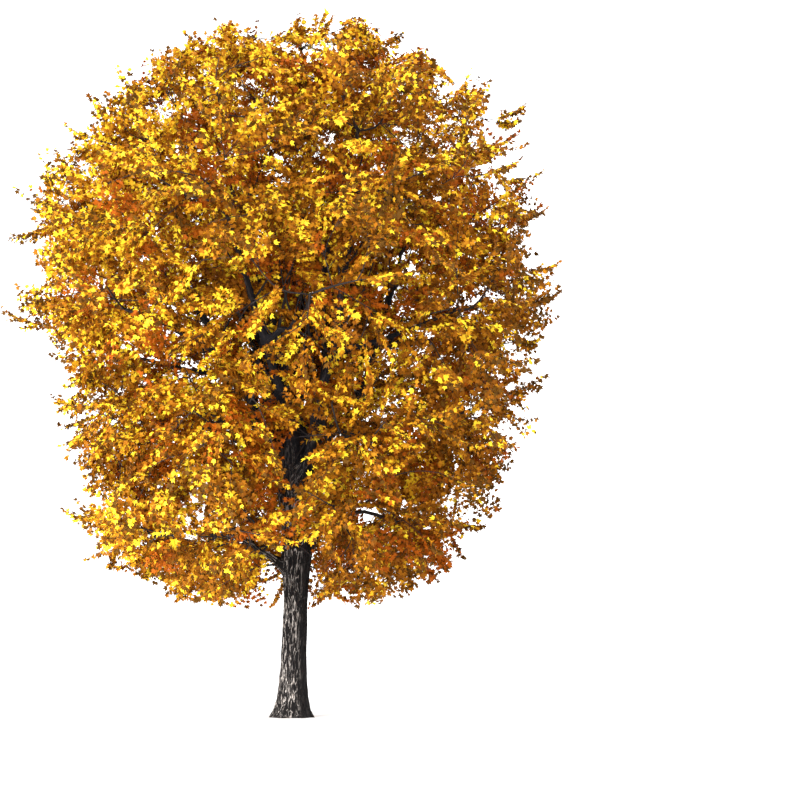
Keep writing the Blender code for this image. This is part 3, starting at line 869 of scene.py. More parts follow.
# %% Branches that carry the sprays
LINE_STEP = 0.2
BRANCH_GAPS = {"skirt": 0.6, "lower": 0.55, "middle": 0.55, "upper": 0.7, "high": 0.9, "top": 0.9}
BRANCH_GAP_PLAY = (0.8, 1.2)
BRANCH_FROM = {"skirt": 0.18, "lower": 0.2, "middle": 0.25, "upper": 0.35, "high": 0.25, "top": 0.55}
BRANCH_LIFTS = {"skirt": (-0.35, 0.5), "lower": (0.8, -0.5), "middle": (0.8, -0.4)}
USUAL_LIFTS = (0.8, 0.8)
BRANCH_LENGTH = 2.5
BRANCH_PLAY = (0.45, 0.75)
BRANCH_ALONG = 0.5
BRANCH_LEAVE_LIFT = 0.6
BRANCH_TIP_OUT = 0.4
BRANCH_TIP_LIFT = 1.2
BRANCH_RADIUS = 0.034
BRANCH_POINTS = 6
AXIS_RADIUS = 0.011
NUDGE = 1e-6

RISER_SHARES = (0.14, 0.2, 0.26, 0.32, 0.4, 0.48)
RISER_LENGTH = 4.4
RISER_PLAY = (0.75, 1.1)
RISER_RADIUS = 0.06
RISER_LEAN = 0.12
RISER_SWAY = 0.25
RISER_ALONG = 0.6
RISER_LEAVE_LIFT = 0.8
RISER_TIP_OUT = 0.3

Line = namedtuple("Line", "mass points radii gone fork kind")


def line_of(mass, knots, radii, fork, kind):
    """A smooth carrying line, with how far along it each point is. Past `fork` it carries only sprays."""
    points, radii = smooth_line(np.array(knots), np.array(radii), LINE_STEP)
    return Line(mass, points, radii, lengths_along(points), fork, kind)


def branch(mass, root, leave, end, arrive, thick, kind):
    """A carrying line that bends from a limb or a branch to its own tip and tapers all the way."""
    radii = np.linspace(thick, AXIS_RADIUS, BRANCH_POINTS)
    return line_of(mass, bend(root, leave, end, arrive, BRANCH_POINTS), radii, 0, kind)


def inner_branches(mass):
    """Thin branches that rise steeply from a mass's limb. Some of those on the low limbs hang."""
    chance = random.Random(mass.name)
    limb = limb_of(mass)
    stations = lengths_along(limb.points)
    found = []
    gone = stations[-1] * BRANCH_FROM[mass.tier]
    turn = chance.uniform(0, 2 * math.pi)
    while gone < stations[-1]:
        root = along_line(stations, limb.points, gone)
        sideways = level_way(turn)
        lift = BRANCH_LIFTS.get(mass.tier, USUAL_LIFTS)[len(found) % 2]
        along = unit(limb.points[-1] - root + NUDGE)
        leave = unit(sideways + along * BRANCH_ALONG + (0, 0, lift * BRANCH_LEAVE_LIFT))
        end = root + (leave + (0, 0, lift)) * BRANCH_LENGTH * chance.uniform(*BRANCH_PLAY)
        arrive = unit(sideways * BRANCH_TIP_OUT + (0, 0, lift * BRANCH_TIP_LIFT))
        found.append(branch(mass, root, leave, end, arrive, BRANCH_RADIUS, "inner"))
        gone += BRANCH_GAPS[mass.tier] * chance.uniform(*BRANCH_GAP_PLAY)
        turn += GOLDEN_ANGLE
    return found


def risers(mass):
    """Long bare branches that rise nearly upright from the inner half of an upper limb."""
    if mass.tier != "upper":
        return []
    chance = random.Random(mass.name + "risers")
    points = limb_of(mass).points
    found = []
    for share in RISER_SHARES:
        piece = int(share * (len(points) - 1))
        root = points[piece]
        outwards = unit(root - (0, 0, root[2]))
        across = np.array((-outwards[1], outwards[0], 0))
        sideways = across * chance.uniform(-RISER_SWAY, RISER_SWAY)
        leave = unit(unit(points[piece + 1] - root) * RISER_ALONG + sideways + (0, 0, RISER_LEAVE_LIFT))
        length = RISER_LENGTH * chance.uniform(*RISER_PLAY)
        end = root + (outwards * RISER_LEAN + sideways + (0, 0, 1)) * length
        arrive = unit(outwards * RISER_TIP_OUT + (0, 0, 1))
        found.append(branch(mass, root, leave, end, arrive, RISER_RADIUS, "riser"))
    return found


def carrying_lines():
    """Every mass's twigs, then its limb's inner branches and risers."""
    found = []
    for mass in masses:
        for path, site in twigs_of[mass.name]:
            knots = np.array([place for place, _ in path])
            fork = lengths_along(knots if site is None else knots[:-1])[-1]
            found.append(line_of(mass, knots, [radius for _, radius in path], fork, "twig"))
        found += inner_branches(mass) + risers(mass)
    return found


lines = carrying_lines()
print("twigs and branches:", len(lines))

# %% Places for sprays
SPRAY_LENGTHS = (1.75, 1.45, 1.15, 0.87)
TIP_LENGTHS = (2.3, 2.0) + SPRAY_LENGTHS
LENGTH_PLAY = (0.9, 1.08)
SPRAY_GAPS = {"skirt": 0.29, "lower": 0.27, "middle": 0.27, "upper": 0.34, "high": 0.4, "top": 0.38}
GAP_PLAY = (0.75, 1.25)
BARE_SHARES = {"twig": 0.15, "inner": 0.35, "riser": 0.6, "filler": 0.35}
SPRAY_SPREAD = 58
SPREAD_PLAY = 14
SPACE_SLACK = 1.2
TIP_SLACK = 1.7
SPACE_OVERLAP = 0.9
SPRAY_TESTS = np.array(((0.35,), (0.7,), (1.0,)))
OUTWARD_PULL = 0.35
NORMAL_PLAY = 0.35
NORMAL_PULL = 0.6
SIDE_HINT = (0.3, 0.2, 1.0)

Spray = namedtuple("Spray", "mass line gone root way normal length")


def sprays_on(number, chance, gap, fits):
    """Sprays back from the tip of a line to its bare part, each as long as fits. The first carries
    the tip straight on."""
    line = lines[number]
    found = []
    back = 0.0
    turn = chance.uniform(0, 2 * math.pi)
    while back < line.gone[-1] * (1 - BARE_SHARES[line.kind]):
        gone = line.gone[-1] - back
        root = along_line(line.gone, line.points, gone)
        piece = max(int(np.searchsorted(line.gone, gone)) - 1, 0)
        way = unit(line.points[piece + 1] - line.points[piece])
        side = unit(np.cross(way, SIDE_HINT))
        other = np.cross(way, side)
        spread = math.radians(SPRAY_SPREAD + chance.uniform(-SPREAD_PLAY, SPREAD_PLAY)) if back else 0
        outwards = side * math.cos(turn) + other * math.sin(turn)
        spray_way = unit(
            way * math.cos(spread) + outwards * math.sin(spread)
            + unit(root - CROWN_HEART) * OUTWARD_PULL * chance.uniform(0, 1)
        )
        upright = np.array([chance.gauss(0, NORMAL_PLAY), chance.gauss(0, NORMAL_PLAY), 1.0])
        normal = unit(upright + NORMAL_PULL * unit(root - line.mass.heart))
        normal = unit(normal - spray_way * (normal @ spray_way))
        length = fits(root, spray_way, back == 0)
        if length:
            found.append(Spray(line.mass, number, gone, root, spray_way, normal, length))
        back += gap * chance.uniform(*GAP_PLAY)
        turn += GOLDEN_ANGLE
    return found


def fitting(chance, mass=None):
    """A test of how long a spray may be at a place, so that it keeps within the crown's outline and,
    if a mass is given, near that mass's own space."""
    def fits(root, way, is_tip):
        for usual in TIP_LENGTHS if mass and is_tip else SPRAY_LENGTHS:
            length = usual * chance.uniform(*LENGTH_PLAY)
            tests = root + way * length * SPRAY_TESTS
            slack = TIP_SLACK if is_tip else SPACE_SLACK
            roomy = mass is None or in_space(tests, mass, slack, SPACE_OVERLAP).all()
            if roomy and (share_of_reach(tests) < 1).all():
                return length
        return 0
    return fits


print("spray lengths tried:", TIP_LENGTHS)

# %% Sprays on every line
INNER_LENGTH = 1.35
INNER_PLAY = (0.75, 1.2)
INNER_GAP = 0.75
SPRAY_ROOM = 0.42
SPRAY_HEART = 0.55


def all_sprays():
    """Sprays on every twig, and shorter, shaded ones on the other branches."""
    chance = random.Random(SEED)
    found = []
    for number, line in enumerate(lines):
        if line.kind == "twig":
            found += sprays_on(number, chance, SPRAY_GAPS[line.mass.tier], fitting(chance, line.mass))
        else:
            inner = INNER_LENGTH * chance.uniform(*INNER_PLAY)
            found += sprays_on(number, chance, INNER_GAP, lambda *_: inner)
    return found


def spray_middle(spray):
    return spray.root + spray.way * spray.length * SPRAY_HEART


def uncrowded(found):
    """The sprays whose middles keep a little room from one another's, the first come first."""
    chosen = []
    middles = np.empty((0, 3))
    for spray in found:
        middle = spray_middle(spray)
        if (np.linalg.norm(middles - middle, axis=1) > SPRAY_ROOM).all():
            chosen.append(spray)
            middles = np.vstack((middles, middle))
    return chosen


every_spray = all_sprays()
sprays = uncrowded(every_spray)
print("sprays:", len(every_spray), "uncrowded:", len(sprays))

# %% [markdown]
# Wherever the construction's masses stand apart, there is still a hole in the crown. More seeds or
# longer sprays would only move such holes about, so they are looked for: places are dealt evenly
# over two smaller copies of the crown's outline, and each that has no spray near sends for a branch
# from the nearest wood that lies further in. A few spots in front of the trunk come first, above and
# beside the stretch of it that shows over the fork.

# %% Branches to the places still bare
FILL_LAYERS = ((0.84, 0.7), (0.5, 0.95))
FILL_PLACES = 1500
FILL_HEIGHTS = (19.7, 3.3)
FILL_REACH = (0.3, 4.0)
FILL_AHEAD = 0.1
FILL_GAP = 0.45
FILL_ALONG = 0.8
FILL_ARRIVAL = (0.3, 0.9)
FILL_TAPER = 0.8
SPOTS_ABOVE = [(across, -4.0, height) for height in (8.0, 8.6, 9.2) for across in (-1.4, -0.5, 0.4, 1.3)]
SPOTS_BESIDE = [(across, -3.0, height) for height in (6.2, 7.0, 7.7) for across in (-0.9, 1.05)]
SPOT_ROOM = 0.5


def layer_places(share):
    """Places all over the crown's outline, drawn in to a share of its reach, from the top down."""
    number = np.arange(FILL_PLACES)
    heights = np.interp(number, (0, FILL_PLACES - 1), FILL_HEIGHTS)
    middle, reach, depth = between(CROWN_PROFILE, heights).T
    angle = number * GOLDEN_ANGLE
    across = middle + np.cos(angle) * reach * share
    return np.column_stack((across, np.sin(angle) * depth * share, heights))


def filler(place, chance):
    """A branch to a bare place from the nearest line that lies further in, or None."""
    away = place - line_points
    apart = np.linalg.norm(away, axis=1)
    ahead = (away * unit(line_points - CROWN_HEART)).sum(1) / apart
    apart[ahead < FILL_AHEAD] = np.inf
    nearest = int(apart.argmin())
    if not FILL_REACH[0] < apart[nearest] < FILL_REACH[1]:
        return None
    line = lines[line_numbers[nearest]]
    piece = int(np.linalg.norm(line.points - line_points[nearest], axis=1).argmin())
    piece = min(piece, len(line.points) - 2)
    root = line.points[piece]
    along = unit(line.points[piece + 1] - root)
    leave = unit(along * FILL_ALONG + unit(place - root))
    arrive = unit(unit(place - root) + unit(place - CROWN_HEART) * chance.uniform(*FILL_ARRIVAL))
    thick = min(line.radii[piece] * FILL_TAPER, BRANCH_RADIUS)
    return branch(line.mass, root, leave, place, arrive, thick, "filler")


line_points = np.vstack([line.points for line in lines])
line_numbers = np.repeat(np.arange(len(lines)), [len(line.points) for line in lines])
middles = np.array([spray_middle(spray) for spray in sprays])
filling = random.Random(SEED + 1)
layers = [(SPOTS_ABOVE + SPOTS_BESIDE, SPOT_ROOM)]
layers += [(layer_places(share), room) for share, room in FILL_LAYERS]
for places, room in layers:
    for place in np.array(places):
        bare = np.linalg.norm(middles - place, axis=1).min() >= room
        line = filler(place, filling) if bare else None
        if line:
            lines.append(line)
            found = sprays_on(len(lines) - 1, filling, FILL_GAP, fitting(filling))
            sprays += found
            middles = np.vstack([middles, place] + [spray_middle(spray) for spray in found])
print("with branches to bare places:", len(lines), "lines,", len(sprays), "sprays")

# %% [markdown]
# ## Shoots
#
# Thousands of shoots could be modelled as linked copies, but every one would then be alike and the
# export would drop them. So they are worked out together as arrays: one row for each spray, then
# one for each shoot, then one for each leaf. Sprays on the low boughs sag and turn up at their
# tips, and those near the top reach upwards.

# %% Shoots of the sprays
SHOOT_STATIONS = (0.14, 0.26, 0.38, 0.5, 0.62, 0.74)
SHOOT_SPREAD = 46
SHOOT_SPREAD_PLAY = 9
SHOOT_LENGTH = 0.46
SHOOT_PLAY = (0.75, 1.15)
SHOOT_TAPER = 0.7
TAPER_END = 1.05
SHOOT_LIFT = (0.05, 0.16)
SHOOT_STEP = 0.05
SAG = {"skirt": 0.3, "lower": 0.26, "middle": 0.2, "upper": 0.12, "high": 0.06, "top": 0.04}
SAG_PLAY = (0.5, 1.4)
TIP_LIFT = 0.5
UPTURN = 0.16
DOWN = np.array((0.0, 0.0, -1.0))

chances = np.random.default_rng(SEED)
spray_root, spray_way, spray_normal, spray_length = (
    np.array([getattr(spray, part) for spray in sprays]) for part in ("root", "way", "normal", "length")
)
spray_sag = np.array([SAG[spray.mass.tier] for spray in sprays]) * chances.uniform(*SAG_PLAY, len(sprays))
spray_numbers = np.arange(len(sprays))


def on_axis(share):
    """Each spray's point at this share of its length: it sags under its leaves and turns up at its tip."""
    drop = spray_sag * share**2 - (spray_sag * TIP_LIFT + UPTURN) * share**4
    return spray_root + spray_length[:, None] * (spray_way * share + drop[:, None] * DOWN)


def axis_way(share, step):
    """The way each spray's axis runs at this share of its length, over a step to either side."""
    return unit(on_axis(share + step) - on_axis(share - step))


def turned_out(along, across, hand, angle, play):
    """Ways that leave `along` towards one hand of `across`, all by nearly the same angle."""
    angles = np.radians(angle + chances.uniform(-play, play, len(along)))[:, None]
    return along * np.cos(angles) + hand * across * np.sin(angles)


def gathered(parts):
    """Each column of the parts, put end to end."""
    return [np.concatenate(column) for column in zip(*parts)]


def shoot_rows():
    """Every shoot as rows of its start, way, plane's normal, length and spray."""
    parts = []
    for station in SHOOT_STATIONS:
        along = axis_way(station, SHOOT_STEP)
        across = np.cross(spray_normal, along)
        for hand in (1, -1):
            ways = turned_out(along, across, hand, SHOOT_SPREAD, SHOOT_SPREAD_PLAY)
            ways = unit(ways + spray_normal * chances.normal(*SHOOT_LIFT, (len(sprays), 1)))
            taper = (TAPER_END - station) ** SHOOT_TAPER * chances.uniform(*SHOOT_PLAY, len(sprays))
            lengths = spray_length * SHOOT_LENGTH * taper
            parts.append((on_axis(station), ways, spray_normal, lengths, spray_numbers))
    return gathered(parts)


shoot_start, shoot_way, shoot_normal, shoot_length, shoot_owner = shoot_rows()
print("shoots:", len(shoot_start), "mean length", round(float(shoot_length.mean()), 2))

# %% [markdown]
# A real crown isn't closed all over. The trunk shows between the lowest sprays and again above
# them, and sky shows in the bays between the masses. Shoots are left out where the picture shows
# bare wood, in a few rounded windows with ragged edges, and wherever they would touch a limb. In
# the bays at the outline and before the limbs in the middle whole sprays are thinned, so that those
# that stay stand out as fingers. The others end at the crown's outline, each at a share of its own.
# A spray that has lost most of its shoots goes altogether, and its twig is cut back to the next one.

# %% Windows and bays in the crown
Window = namedtuple("Window", "middle half back share_kept")
WINDOWS = (
    Window((0.1, 1.6), (0.95, 3.55), 1.0, 0.0),
    Window((0.12, 6.95), (0.44, 0.95), 0.0, 0.0),
)
RAGGED = 0.12
Bay = namedtuple("Bay", "left right low high back share_kept")
BAYS = (
    Bay(-9.0, -6.4, 11.7, 12.7, 9.0, 0.25),
    Bay(-9.0, -6.3, 9.6, 10.5, 9.0, 0.25),
    Bay(-9.0, -6.1, 6.4, 8.0, 9.0, 0.35),
    Bay(-6.8, -4.2, 16.4, 18.4, 9.0, 0.45),
    Bay(3.8, 6.0, 16.6, 18.6, 9.0, 0.6),
    Bay(6.6, 9.0, 12.3, 13.8, 9.0, 0.4),
    Bay(6.2, 9.0, 8.9, 11.0, 9.0, 0.4),
    Bay(-2.0, 2.7, 9.9, 12.0, -1.0, 0.5),
)
BAY_SHARE = 0.75
SHOOT_TESTS = (0.4, 1.0)
LIMB_ROOM = 0.06
RAGGED_EDGE = (0.87, 1.08)
FEWEST_SHOOTS = 5


def outside_windows(points):
    kept = np.ones(len(points), bool)
    for window in WINDOWS:
        away = (points[:, (0, 2)] - window.middle) / window.half
        inside = np.linalg.norm(away, axis=1) < 1 + chances.normal(0, RAGGED, len(points))
        inside &= points[:, 1] < window.back
        kept &= ~inside | (chances.uniform(0, 1, len(points)) < window.share_kept)
    return kept


spray_edge = np.interp(chances.uniform(0, 1, len(sprays)) ** 2, (0, 1), RAGGED_EDGE)


def outside_bays():
    """Which sprays stay: all but a share of those whose outer half lies in a bay."""
    points = on_axis(BAY_SHARE)
    kept = np.ones(len(sprays), bool)
    for bay in BAYS:
        inside = (points[:, 0] > bay.left) & (points[:, 0] < bay.right)
        inside &= (points[:, 2] > bay.low) & (points[:, 2] < bay.high) & (points[:, 1] < bay.back)
        kept &= ~inside | (chances.uniform(0, 1, len(sprays)) < bay.share_kept)
    return kept


def open_shoots():
    kept = outside_windows(shoot_start + shoot_way * shoot_length[:, None] * 0.5)
    for share in SHOOT_TESTS:
        points = shoot_start + shoot_way * (shoot_length * share)[:, None]
        kept &= clear_of_limbs(points, LIMB_ROOM) & (share_of_reach(points) < spray_edge[shoot_owner])
    return kept


kept = open_shoots()
spray_kept = outside_bays() & (np.bincount(shoot_owner[kept], minlength=len(sprays)) >= FEWEST_SHOOTS)
kept &= spray_kept[shoot_owner]
shoot_start, shoot_way, shoot_normal, shoot_length, shoot_owner = (
    rows[kept] for rows in (shoot_start, shoot_way, shoot_normal, shoot_length, shoot_owner)
)
print("sprays kept:", int(spray_kept.sum()), "shoots kept:", len(shoot_start))

line_reach = np.array([float(line.fork) for line in lines])
for spray, stays in zip(sprays, spray_kept):
    if stays:
        line_reach[spray.line] = max(line_reach[spray.line], spray.gone)
print("lines without sprays:", int((line_reach == 0).sum()))

# %% [markdown]
# ## Leaves
#
# A silver maple's leaf has five deeply cut, pointed lobes and hangs from a long stalk. From a
# distance it is a notched speck, and up close its outline tells the tree, so each leaf keeps the
# five points with as few faces as they need: eight corners round the edge and six triangles, folded
# a little along the midrib so that light catches one half. They sit in opposite pairs.

# %% Where the leaves sit
LEAF_GAP = 0.138
LEAF_FIRST = 0.09
LEAF_LAST = 0.04
MOST_PAIRS = 8
LEAF_SPREAD = 60
LEAF_SPREAD_PLAY = 16
ROOT_PLAY = 0.02
SHOOT_DROOP = 0.1
AXIS_LEAF_SHARES = np.linspace(0.3, 0.97, 9)
AXIS_LEAF_STEP = 0.03
AXIS_TIP_FROM = 0.9


def shoot_leaves():
    """Leaves in pairs along every shoot and one at each tip: root, midrib, plane's normal, shoot."""
    parts = []
    across = np.cross(shoot_normal, shoot_way)
    for pair in range(MOST_PAIRS):
        gone = LEAF_FIRST + pair * LEAF_GAP
        on = np.flatnonzero(gone < shoot_length - LEAF_LAST)
        ways, lengths = shoot_way[on], shoot_length[on]
        for hand in (1, -1):
            midribs = turned_out(ways, across[on], hand, LEAF_SPREAD, LEAF_SPREAD_PLAY)
            share = (gone + chances.uniform(-ROOT_PLAY, ROOT_PLAY, len(on))) / lengths
            sunk = (SHOOT_DROOP * share**2 * lengths)[:, None] * DOWN
            roots = shoot_start[on] + ways * (share * lengths)[:, None] + sunk
            parts.append((roots, midribs, shoot_normal[on], on))
    tips = shoot_start + shoot_way * shoot_length[:, None] + (SHOOT_DROOP * shoot_length)[:, None] * DOWN
    parts.append((tips, shoot_way, shoot_normal, np.arange(len(shoot_start))))
    return gathered(parts)


def axis_leaves():
    """Leaf pairs along the sprays' own bent axes and one at each tip, each with its spray."""
    parts = []
    for share in AXIS_LEAF_SHARES:
        along = axis_way(share, AXIS_LEAF_STEP)
        across = np.cross(spray_normal, along)
        for hand in (1, -1):
            midribs = turned_out(along, across, hand, LEAF_SPREAD, LEAF_SPREAD_PLAY)
            parts.append((on_axis(share), midribs, spray_normal, spray_numbers))
    tip = on_axis(1.0)
    parts.append((tip, unit(tip - on_axis(AXIS_TIP_FROM)), spray_normal, spray_numbers))
    return gathered(parts)


side_leaves = shoot_leaves()
tip_leaves = axis_leaves()
open_tips = spray_kept[tip_leaves[3]] & outside_windows(tip_leaves[0])
open_tips &= clear_of_limbs(tip_leaves[0], LIMB_ROOM) & (share_of_reach(tip_leaves[0]) < 1)
tip_leaves = [rows[open_tips] for rows in tip_leaves]
print("leaves:", len(side_leaves[0]) + len(tip_leaves[0]))

# %% [markdown]
# ## Autumn tints
#
# Each shoot is simply dealt one of a few plain leaf colours: clear yellow, gold, tawny, dull brown,
# and russet in patches deep in the crown. A colour image could paint them, but on so many small faces
# it would smear. The deal paints light and shade into the leaves, on top of the render's own: the
# less foliage stands between a shoot and the light, the lighter its tint, so the outer sprays towards
# the sun and the tops of clusters turn clear yellow, those below and behind them gold and tawny, and
# the ones deep in the crown dull brown. The crown's left side is painted lighter than its right.
# Beyond that painted light and shade, the tints also vary at random from spray to spray and shoot to
# shoot. The foliage in the way is read from a coarse grid in which the shoots are counted. The shares
# of the tints are fixed, so a denser crown doesn't turn browner.

# %% Shade inside the crown
TINTS = {
    "lemon": (0.92, 0.64, 0.03),
    "gold": (0.71, 0.355, 0.015),
    "amber": (0.45, 0.18, 0.009),
    "ochre": (0.325, 0.112, 0.004),
    "tawny": (0.245, 0.08, 0.003),
    "umber": (0.175, 0.055, 0.002),
    "russet": (0.33, 0.075, 0.003),
    "sepia": (0.1, 0.042, 0.004),
}
RUSSET = list(TINTS).index("russet")
SEPIA = list(TINTS).index("sepia")
TINT_SHARES = {"lemon": 0.12, "gold": 0.11, "amber": 0.14, "ochre": 0.2, "tawny": 0.24, "umber": 0.19}
SHADE_CELL = 0.25
SHADE_STEPS = 9
SHADE_FADE = 0.88
SUNNY_WAYS = (((-0.3, -0.7, 0.6), 1.0), ((0.0, 0.0, 1.0), 0.4))

shoot_middle = shoot_start + shoot_way * (shoot_length * 0.5)[:, None]
grid_corner = np.array(SOLID_BOX[0]) - 1
grid_shape = np.ceil((np.array(SOLID_BOX[1]) + 1 - grid_corner) / SHADE_CELL).astype(int)


def cells_of(points):
    return ((points - grid_corner) / SHADE_CELL).astype(int)


foliage_grid = np.zeros(grid_shape)
np.add.at(foliage_grid, tuple(cells_of(shoot_middle).T), shoot_length)


def shade_over(points, way):
    """How much foliage stands between each place and the light that comes from one way."""
    total = np.zeros(len(points))
    for step in range(1, SHADE_STEPS):
        cells = cells_of(points + unit(np.array(way)) * step * SHADE_CELL)
        inside = ((cells >= 0) & (cells < grid_shape)).all(1)
        total[inside] += foliage_grid[tuple(cells[inside].T)] * SHADE_FADE**step
    return total


print("foliage in the fullest cell:", round(float(foliage_grid.max()), 1), "m of shoots")

# %% Dealing the tints, with painted light and shade
# How much the painted shade weighs in the deal of the tints.
PAINTED_SHADE_WEIGHT = 0.35
PATCH_SIZE = 0.7
PATCH_WEIGHT = 0.08
# Painted light: the side of the crown that is dealt lighter tints, and by how much per metre.
PAINTED_LIGHT_SIDE = (-1.0, -0.2, 0.25)
PAINTED_LIGHT_SLOPE = 0.022
MID_CROWN = (0.0, 0.0, 11.0)
SPRAY_MOOD = 0.07
SHOOT_MOOD = 0.23
RUST_PATCH = 1.6
RUST_SHIFT = 40
RUST_FADE = 0.5
RUST_REACH = 0.12
AXIS_TINT_SHARE = 0.6
patch_seed = chances.uniform(-50, 50, 3)


def patches(points, size):
    """A soft random number for each place, alike for places nearer together than `size`."""
    return np.array([noise.noise(place) for place in (points / size + patch_seed).tolist()])


def deal(points, owners):
    """The number of the tint that falls to each shoot or spray."""
    # Painted shade: the more foliage stands between a shoot and the light, the darker the tint it is
    # dealt.
    shade = sum(weight * shade_over(points, way) for way, weight in SUNNY_WAYS)
    sun = -PAINTED_SHADE_WEIGHT * np.sqrt(shade / shade.mean()) + patches(points, PATCH_SIZE) * PATCH_WEIGHT
    sun += spray_mood[owners] + chances.normal(0, SHOOT_MOOD, len(points))
    # Painted light: the crown's left, front and upper side are dealt lighter tints.
    sun += (points - MID_CROWN) @ unit(np.array(PAINTED_LIGHT_SIDE)) * PAINTED_LIGHT_SLOPE
    edges = np.quantile(sun, 1 - np.cumsum(list(TINT_SHARES.values()))[:-1])
    tint = (sun[:, None] < edges).sum(1)
    rust = patches(points + RUST_SHIFT, RUST_PATCH) > share_of_reach(points) * RUST_FADE - RUST_REACH
    return np.where(rust & (tint > 1), RUSSET, tint)


spray_mood = chances.normal(0, SPRAY_MOOD, len(sprays))
shoot_tint = deal(shoot_middle, shoot_owner)
axis_tint = deal(on_axis(AXIS_TINT_SHARE), spray_numbers)
print("shoots of each tint:", dict(zip(TINTS, np.bincount(shoot_tint, minlength=len(TINTS)).tolist())))

# %% [markdown]
# No two leaves of a shoot turn on the same day. So most leaves are a step or more darker or lighter
# than their shoot's tint, which gives the crown its speckle. At the crown's very edge, where wind
# and frost reach first, four leaves in ten have already gone dark brown.

# %% Leaves out of step
STEPS_OF_TINT = (-3, -2, -1, 0, 1, 2, 3)
STEP_CHANCES = (0.07, 0.08, 0.12, 0.36, 0.14, 0.12, 0.11)
FROSTED_FROM = 0.87
FROSTED_SHARE = 0.42


def speckled(tint, roots):
    """Each leaf's own tint: its shoot's or one some steps away. Past the last step it turns sepia."""
    steps = chances.choice(STEPS_OF_TINT, len(tint), p=STEP_CHANCES)
    stepped = np.clip(tint + steps, 0, RUSSET - 1)
    stepped = np.where(tint + steps > RUSSET, SEPIA, stepped)
    tint = np.where(tint == RUSSET, RUSSET - (steps > 1), stepped)
    frosted = (share_of_reach(roots) > FROSTED_FROM) & (chances.uniform(0, 1, len(tint)) < FROSTED_SHARE)
    return np.where(frosted, SEPIA, tint)


roots, midribs, faces = (np.concatenate(rows) for rows in zip(side_leaves[:3], tip_leaves[:3]))
tints = speckled(np.concatenate((shoot_tint[side_leaves[3]], axis_tint[tip_leaves[3]])), roots)
leaf_spray = np.concatenate((shoot_owner[side_leaves[3]], tip_leaves[3]))
print("leaves of each tint:", dict(zip(TINTS, np.bincount(tints, minlength=len(TINTS)).tolist())))

# %% The leaf's outline and corners
HALF_LEAF = ((0.0, 0.0), (0.32, 0.08), (0.46, 0.6), (0.15, 0.52), (0.0, 1.0))
OUTLINE = np.array(HALF_LEAF + tuple((-across, along) for across, along in HALF_LEAF[-2:0:-1]))
LEAF_FACES = np.array([(0, corner, corner + 1) for corner in range(1, len(OUTLINE) - 1)])
LEAF_LENGTH = 0.15
LEAF_SIZES = (0.78, 1.22)
LEAF_FOLD = 0.3
TIP_CURL = 0.18
LEAF_DROOP = 0.4
LEAF_SWING = 0.22
LEAF_TILT = 0.6


def leaf_corners(roots, midribs, faces):
    """The corners of every leaf: its outline laid along its midrib, folded and a little curled."""
    count = len(roots)
    midribs = unit(midribs + DOWN * LEAF_DROOP + chances.normal(0, LEAF_SWING, (count, 3)))
    faces = faces + chances.normal(0, LEAF_TILT, (count, 3))
    across = unit(np.cross(midribs, faces))
    up = np.cross(across, midribs)
    size = LEAF_LENGTH * chances.uniform(*LEAF_SIZES, (count, 1, 1))
    side, along = OUTLINE[:, :1], OUTLINE[:, 1:]
    height = np.abs(side) * LEAF_FOLD - TIP_CURL * along**2
    local = across[:, None] * side + midribs[:, None] * along + up[:, None] * height
    return roots[:, None] + size * local


corners = leaf_corners(roots, midribs, faces)
print("leaf corners:", corners.shape[:2])

# %% The pieces of leaves
LEAF_ROUGHNESS = 0.62
LEAF_SHEEN = 0.08
HALVES = ("right", "left")


def mesh_from(name, corners, faces, finishes, numbers):
    """One object from arrays of corners and triangles, each with the number of its finish."""
    mesh = bpy.data.meshes.new(name)
    mesh.vertices.add(len(corners))
    mesh.vertices.foreach_set("co", corners.ravel())
    mesh.loops.add(faces.size)
    mesh.loops.foreach_set("vertex_index", faces.ravel())
    mesh.polygons.add(len(faces))
    mesh.polygons.foreach_set("loop_start", np.arange(len(faces)) * 3)
    for finish in finishes:
        mesh.materials.append(finish)
    mesh.polygons.foreach_set("material_index", numbers)
    mesh.update(calc_edges=True)
    mesh.validate()
    made = bpy.data.objects.new(name, mesh)
    bpy.context.scene.collection.objects.link(made)
    return made


def leaf_finish(tint):
    finish = Finish(f"leaf_{tint}", LEAF_ROUGHNESS)
    finish.shade(Base_Color=(*TINTS[tint], 1), Specular_IOR_Level=LEAF_SHEEN)
    return finish.material


def half_of(mass):
    """1 for a mass on the tree's left, and 0 for one on its right."""
    return int(math.cos(mass.azimuth) < 0)


leaf_finishes = [leaf_finish(tint) for tint in TINTS]
tier_names = [tier.name for tier in TIERS]
tier_of_spray = np.array([tier_names.index(spray.mass.tier) for spray in sprays])
half_of_spray = np.array([half_of(spray.mass) for spray in sprays])
leaf_pieces = {}
for number, tier in enumerate(tier_names):
    for half, side in enumerate(HALVES):
        own = (tier_of_spray[leaf_spray] == number) & (half_of_spray[leaf_spray] == half)
        if not own.any():
            continue
        steps = np.arange(own.sum())[:, None, None] * len(OUTLINE)
        own_faces = (LEAF_FACES + steps).reshape(-1, 3)
        numbers = np.repeat(tints[own], len(LEAF_FACES))
        piece = mesh_from(
            f"{tier}_leaves_{side}", corners[own].reshape(-1, 3), own_faces, leaf_finishes, numbers
        )
        leaf_pieces[tier, half] = piece
        print(piece.name, int(own.sum()), "leaves,", len(own_faces), "triangles")

# %% [markdown]
# ## The twigs' wood
#
# The stems and the sprays' axes are tapering rods. Curves with a bevel would do for a few, but
# there are thousands, so their rings of corners are worked out as arrays too. The shoots, little
# more than a centimetre thick where they start, are spikes of four corners.

